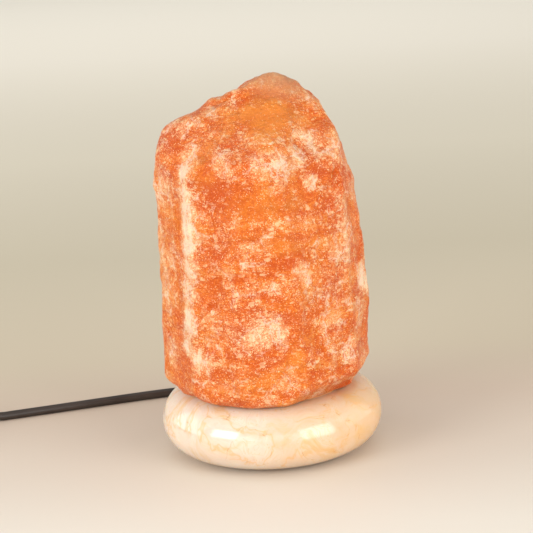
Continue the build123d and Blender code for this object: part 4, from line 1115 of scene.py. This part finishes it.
def finish_holder(settings):
    """The lampholder with its sleeve, contacts, spring clip, nut, grip and cores."""
    dress(
        plastic("phenolic_moulded", "#E9E6DF", 0.32, 1.2, 0.03, "#F2F0EA"),
        "lampholder_cap", "lampholder_barrel",
    )
    dress(plastic("porcelain_glazed", "#F1EFEA", 0.12, 3.0, 0.02, "#FAF9F5"), "lampholder_insulator")
    dress(metal("brass_turned", "#D2A85A", 0.3), "lampholder_centre_contact", "terminal_screws")
    dress(metal("spring_steel_rolled", "#A9ABAE", 0.28, (1, 1, 8)), "spring_clip")
    dress(metal("zinc_plated_steel", "#C3C6C9", 0.34, (8, 8, 1)), "clip_nut")
    dress(plastic("nylon_moulded", "#26241F", 0.45, 1.0, 0.03), "cord_grip")
    dress(two_core_plastic("pvc_core_extruded", 0.0, (0, 0, 0)), "core_wires")
    brass = metal("brass_rolled", "#D9B063", 0.24, (1, 1, 0.4))
    sleeve = empty_piece("threaded_sleeve")
    values = {
        "Radius": 7.6 * MM, "Bottom": 59.8 * MM, "Top": 80 * MM, "Lip height": 1.2 * MM,
        "Lip flare": 0.0, "Wall": 0.4 * MM, "Pitch": settings.thread_pitch,
        "Depth": settings.thread_depth * 0.7, "Flange width": 4.2 * MM,
    }
    run_tree(sleeve, rolled_sleeve(brass), values)
    smooth(sleeve, 50)
    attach(sleeve, "power_unit")
    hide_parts("lampholder_screw_shell")


def finish_bulb(settings):
    """The small candle bulb: threaded cap, glass, stem and wound filament."""
    nickel = metal("nickel_plated_brass", "#C9C6BC", 0.22, (1, 1, 0.4))
    cap = empty_piece("threaded_cap")
    values = {
        "Radius": 6.9 * MM, "Bottom": 65.5 * MM, "Top": 82.5 * MM, "Lip height": 2 * MM,
        "Lip flare": 0.7 * MM, "Wall": 0.4 * MM, "Pitch": settings.thread_pitch,
        "Depth": settings.thread_depth, "Flange width": 0.5 * MM,
    }
    run_tree(cap, rolled_sleeve(nickel), values)
    smooth(cap, 50)
    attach(cap, "bulb")
    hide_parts("bulb_cap")
    filament = empty_piece("wound_filament")
    values = {
        "Foot": 96.8 * MM, "Spacing": 2.8 * MM, "Span": 13 * MM, "Rise": 10.4 * MM, "Sag": 2.6 * MM,
        "Turns": 36, "Coil": settings.filament_coil, "Wire": 0.07 * MM, "Support": 0.25 * MM,
    }
    run_tree(filament, wound_filament(metal("tungsten_drawn", "#6F6E70", 0.4)), values)
    smooth(filament, 60)
    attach(filament, "bulb")
    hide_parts("bulb_filament")
    dress(clear_glass(), "bulb_glass", "bulb_stem")
    dress(plastic("glass_black_pressed", "#15130F", 0.12, 3.0, 0.02), "bulb_insulator")
    dress(metal("solder_wiped", "#B9B6AC", 0.35), "bulb_contact")


def finish_switch():
    """The in-line switch: shells, rocker, screws, terminals and cores."""
    dress(plastic("abs_moulded", "#201B18", 0.38, 1.1, 0.04), "switch_lower_shell", "switch_upper_shell")
    dress(plastic("abs_polished", "#171412", 0.24, 2.0, 0.02), "switch_rocker")
    dress(metal("zinc_plated_screw", "#B9BCC0", 0.32, (8, 8, 1)), "switch_screws")
    dress(metal("brass_pressed", "#CFA556", 0.3), "switch_terminals")
    turn = math.atan2(SWITCH_ALONG.y, SWITCH_ALONG.x) + math.pi / 2
    dress(two_core_plastic("pvc_core_stripped", turn, tuple(SWITCH_MIDDLE)), "switch_cores")


def finish_plug():
    """The flat two-pin plug with its plated pins."""
    dress(plastic("pvc_plug_moulded", "#231D19", 0.42, 1.2, 0.04), "plug_body")
    dress(metal("nickel_plated_pin", "#CBCBC6", 0.2, (1, 12, 12)), "plug_pins")


# ------------------------------------------------------------------ operators
class SALTLAMP_OT_stage(bpy.types.Operator):
    """Set the camera, the lights and the pale floor"""

    bl_idname = "salt_lamp.stage"
    bl_label = "Stage"

    def execute(self, context):
        set_stage(context.scene.salt_lamp.stage)
        return {"FINISHED"}


class SALTLAMP_OT_lead(bpy.types.Operator):
    """Lay the mains lead in its two lengths, with its ribbed boots"""

    bl_idname = "salt_lamp.lead"
    bl_label = "Mains lead"

    def execute(self, context):
        lay_lead(context.scene.salt_lamp.lead)
        return {"FINISHED"}


class SALTLAMP_OT_block(bpy.types.Operator):
    """Hew the block of rock salt"""

    bl_idname = "salt_lamp.block"
    bl_label = "Salt block"

    def execute(self, context):
        hew_block(context.scene.salt_lamp.salt)
        return {"FINISHED"}


class SALTLAMP_OT_disc(bpy.types.Operator):
    """Polish the stone disc and dress its pads and adhesive"""

    bl_idname = "salt_lamp.disc"
    bl_label = "Stone disc"

    def execute(self, context):
        finish_disc(context.scene.salt_lamp.stone)
        return {"FINISHED"}


class SALTLAMP_OT_holder(bpy.types.Operator):
    """Roll the lampholder's sleeve and dress the rest of the power unit"""

    bl_idname = "salt_lamp.holder"
    bl_label = "Lampholder"

    def execute(self, context):
        finish_holder(context.scene.salt_lamp.bulb)
        return {"FINISHED"}


class SALTLAMP_OT_bulb(bpy.types.Operator):
    """Roll the bulb's cap, wind its filament and dress its glass"""

    bl_idname = "salt_lamp.bulb"
    bl_label = "Bulb"

    def execute(self, context):
        finish_bulb(context.scene.salt_lamp.bulb)
        return {"FINISHED"}


class SALTLAMP_OT_switch(bpy.types.Operator):
    """Dress the in-line switch"""

    bl_idname = "salt_lamp.switch"
    bl_label = "In-line switch"

    def execute(self, context):
        finish_switch()
        return {"FINISHED"}


class SALTLAMP_OT_plug(bpy.types.Operator):
    """Dress the plug"""

    bl_idname = "salt_lamp.plug"
    bl_label = "Plug"

    def execute(self, context):
        finish_plug()
        return {"FINISHED"}


OPERATORS = (
    SALTLAMP_OT_stage, SALTLAMP_OT_lead, SALTLAMP_OT_block, SALTLAMP_OT_disc, SALTLAMP_OT_holder,
    SALTLAMP_OT_bulb, SALTLAMP_OT_switch, SALTLAMP_OT_plug,
)


class SALTLAMP_PT_pieces(bpy.types.Panel):
    """Lists what makes each piece of the lamp"""

    bl_idname = "SALTLAMP_PT_pieces"
    bl_label = "Salt crystal lamp"
    bl_space_type = "VIEW_3D"
    bl_region_type = "UI"
    bl_category = "Salt Lamp"

    def draw(self, context):
        for operator in OPERATORS:
            self.layout.operator(operator.bl_idname)


CLASSES = (
    SaltSettings, StoneSettings, LeadSettings, BulbSettings, StageSettings, LampSettings, *OPERATORS,
    SALTLAMP_PT_pieces,
)


def register():
    """Registers every class and puts the settings on the scene."""
    for kind in CLASSES:
        bpy.utils.register_class(kind)
    bpy.types.Scene.salt_lamp = PointerProperty(type=LampSettings)


def unregister():
    """Takes the settings and every class away again."""
    del bpy.types.Scene.salt_lamp
    for kind in reversed(CLASSES):
        bpy.utils.unregister_class(kind)


def main():
    """Builds the lamp's pieces in order."""
    register()
    bpy.ops.salt_lamp.stage()
    bpy.ops.salt_lamp.lead()
    bpy.ops.salt_lamp.block()
    bpy.ops.salt_lamp.disc()
    bpy.ops.salt_lamp.holder()
    bpy.ops.salt_lamp.bulb()
    bpy.ops.salt_lamp.switch()
    bpy.ops.salt_lamp.plug()


if __name__ == "__main__":
    main()
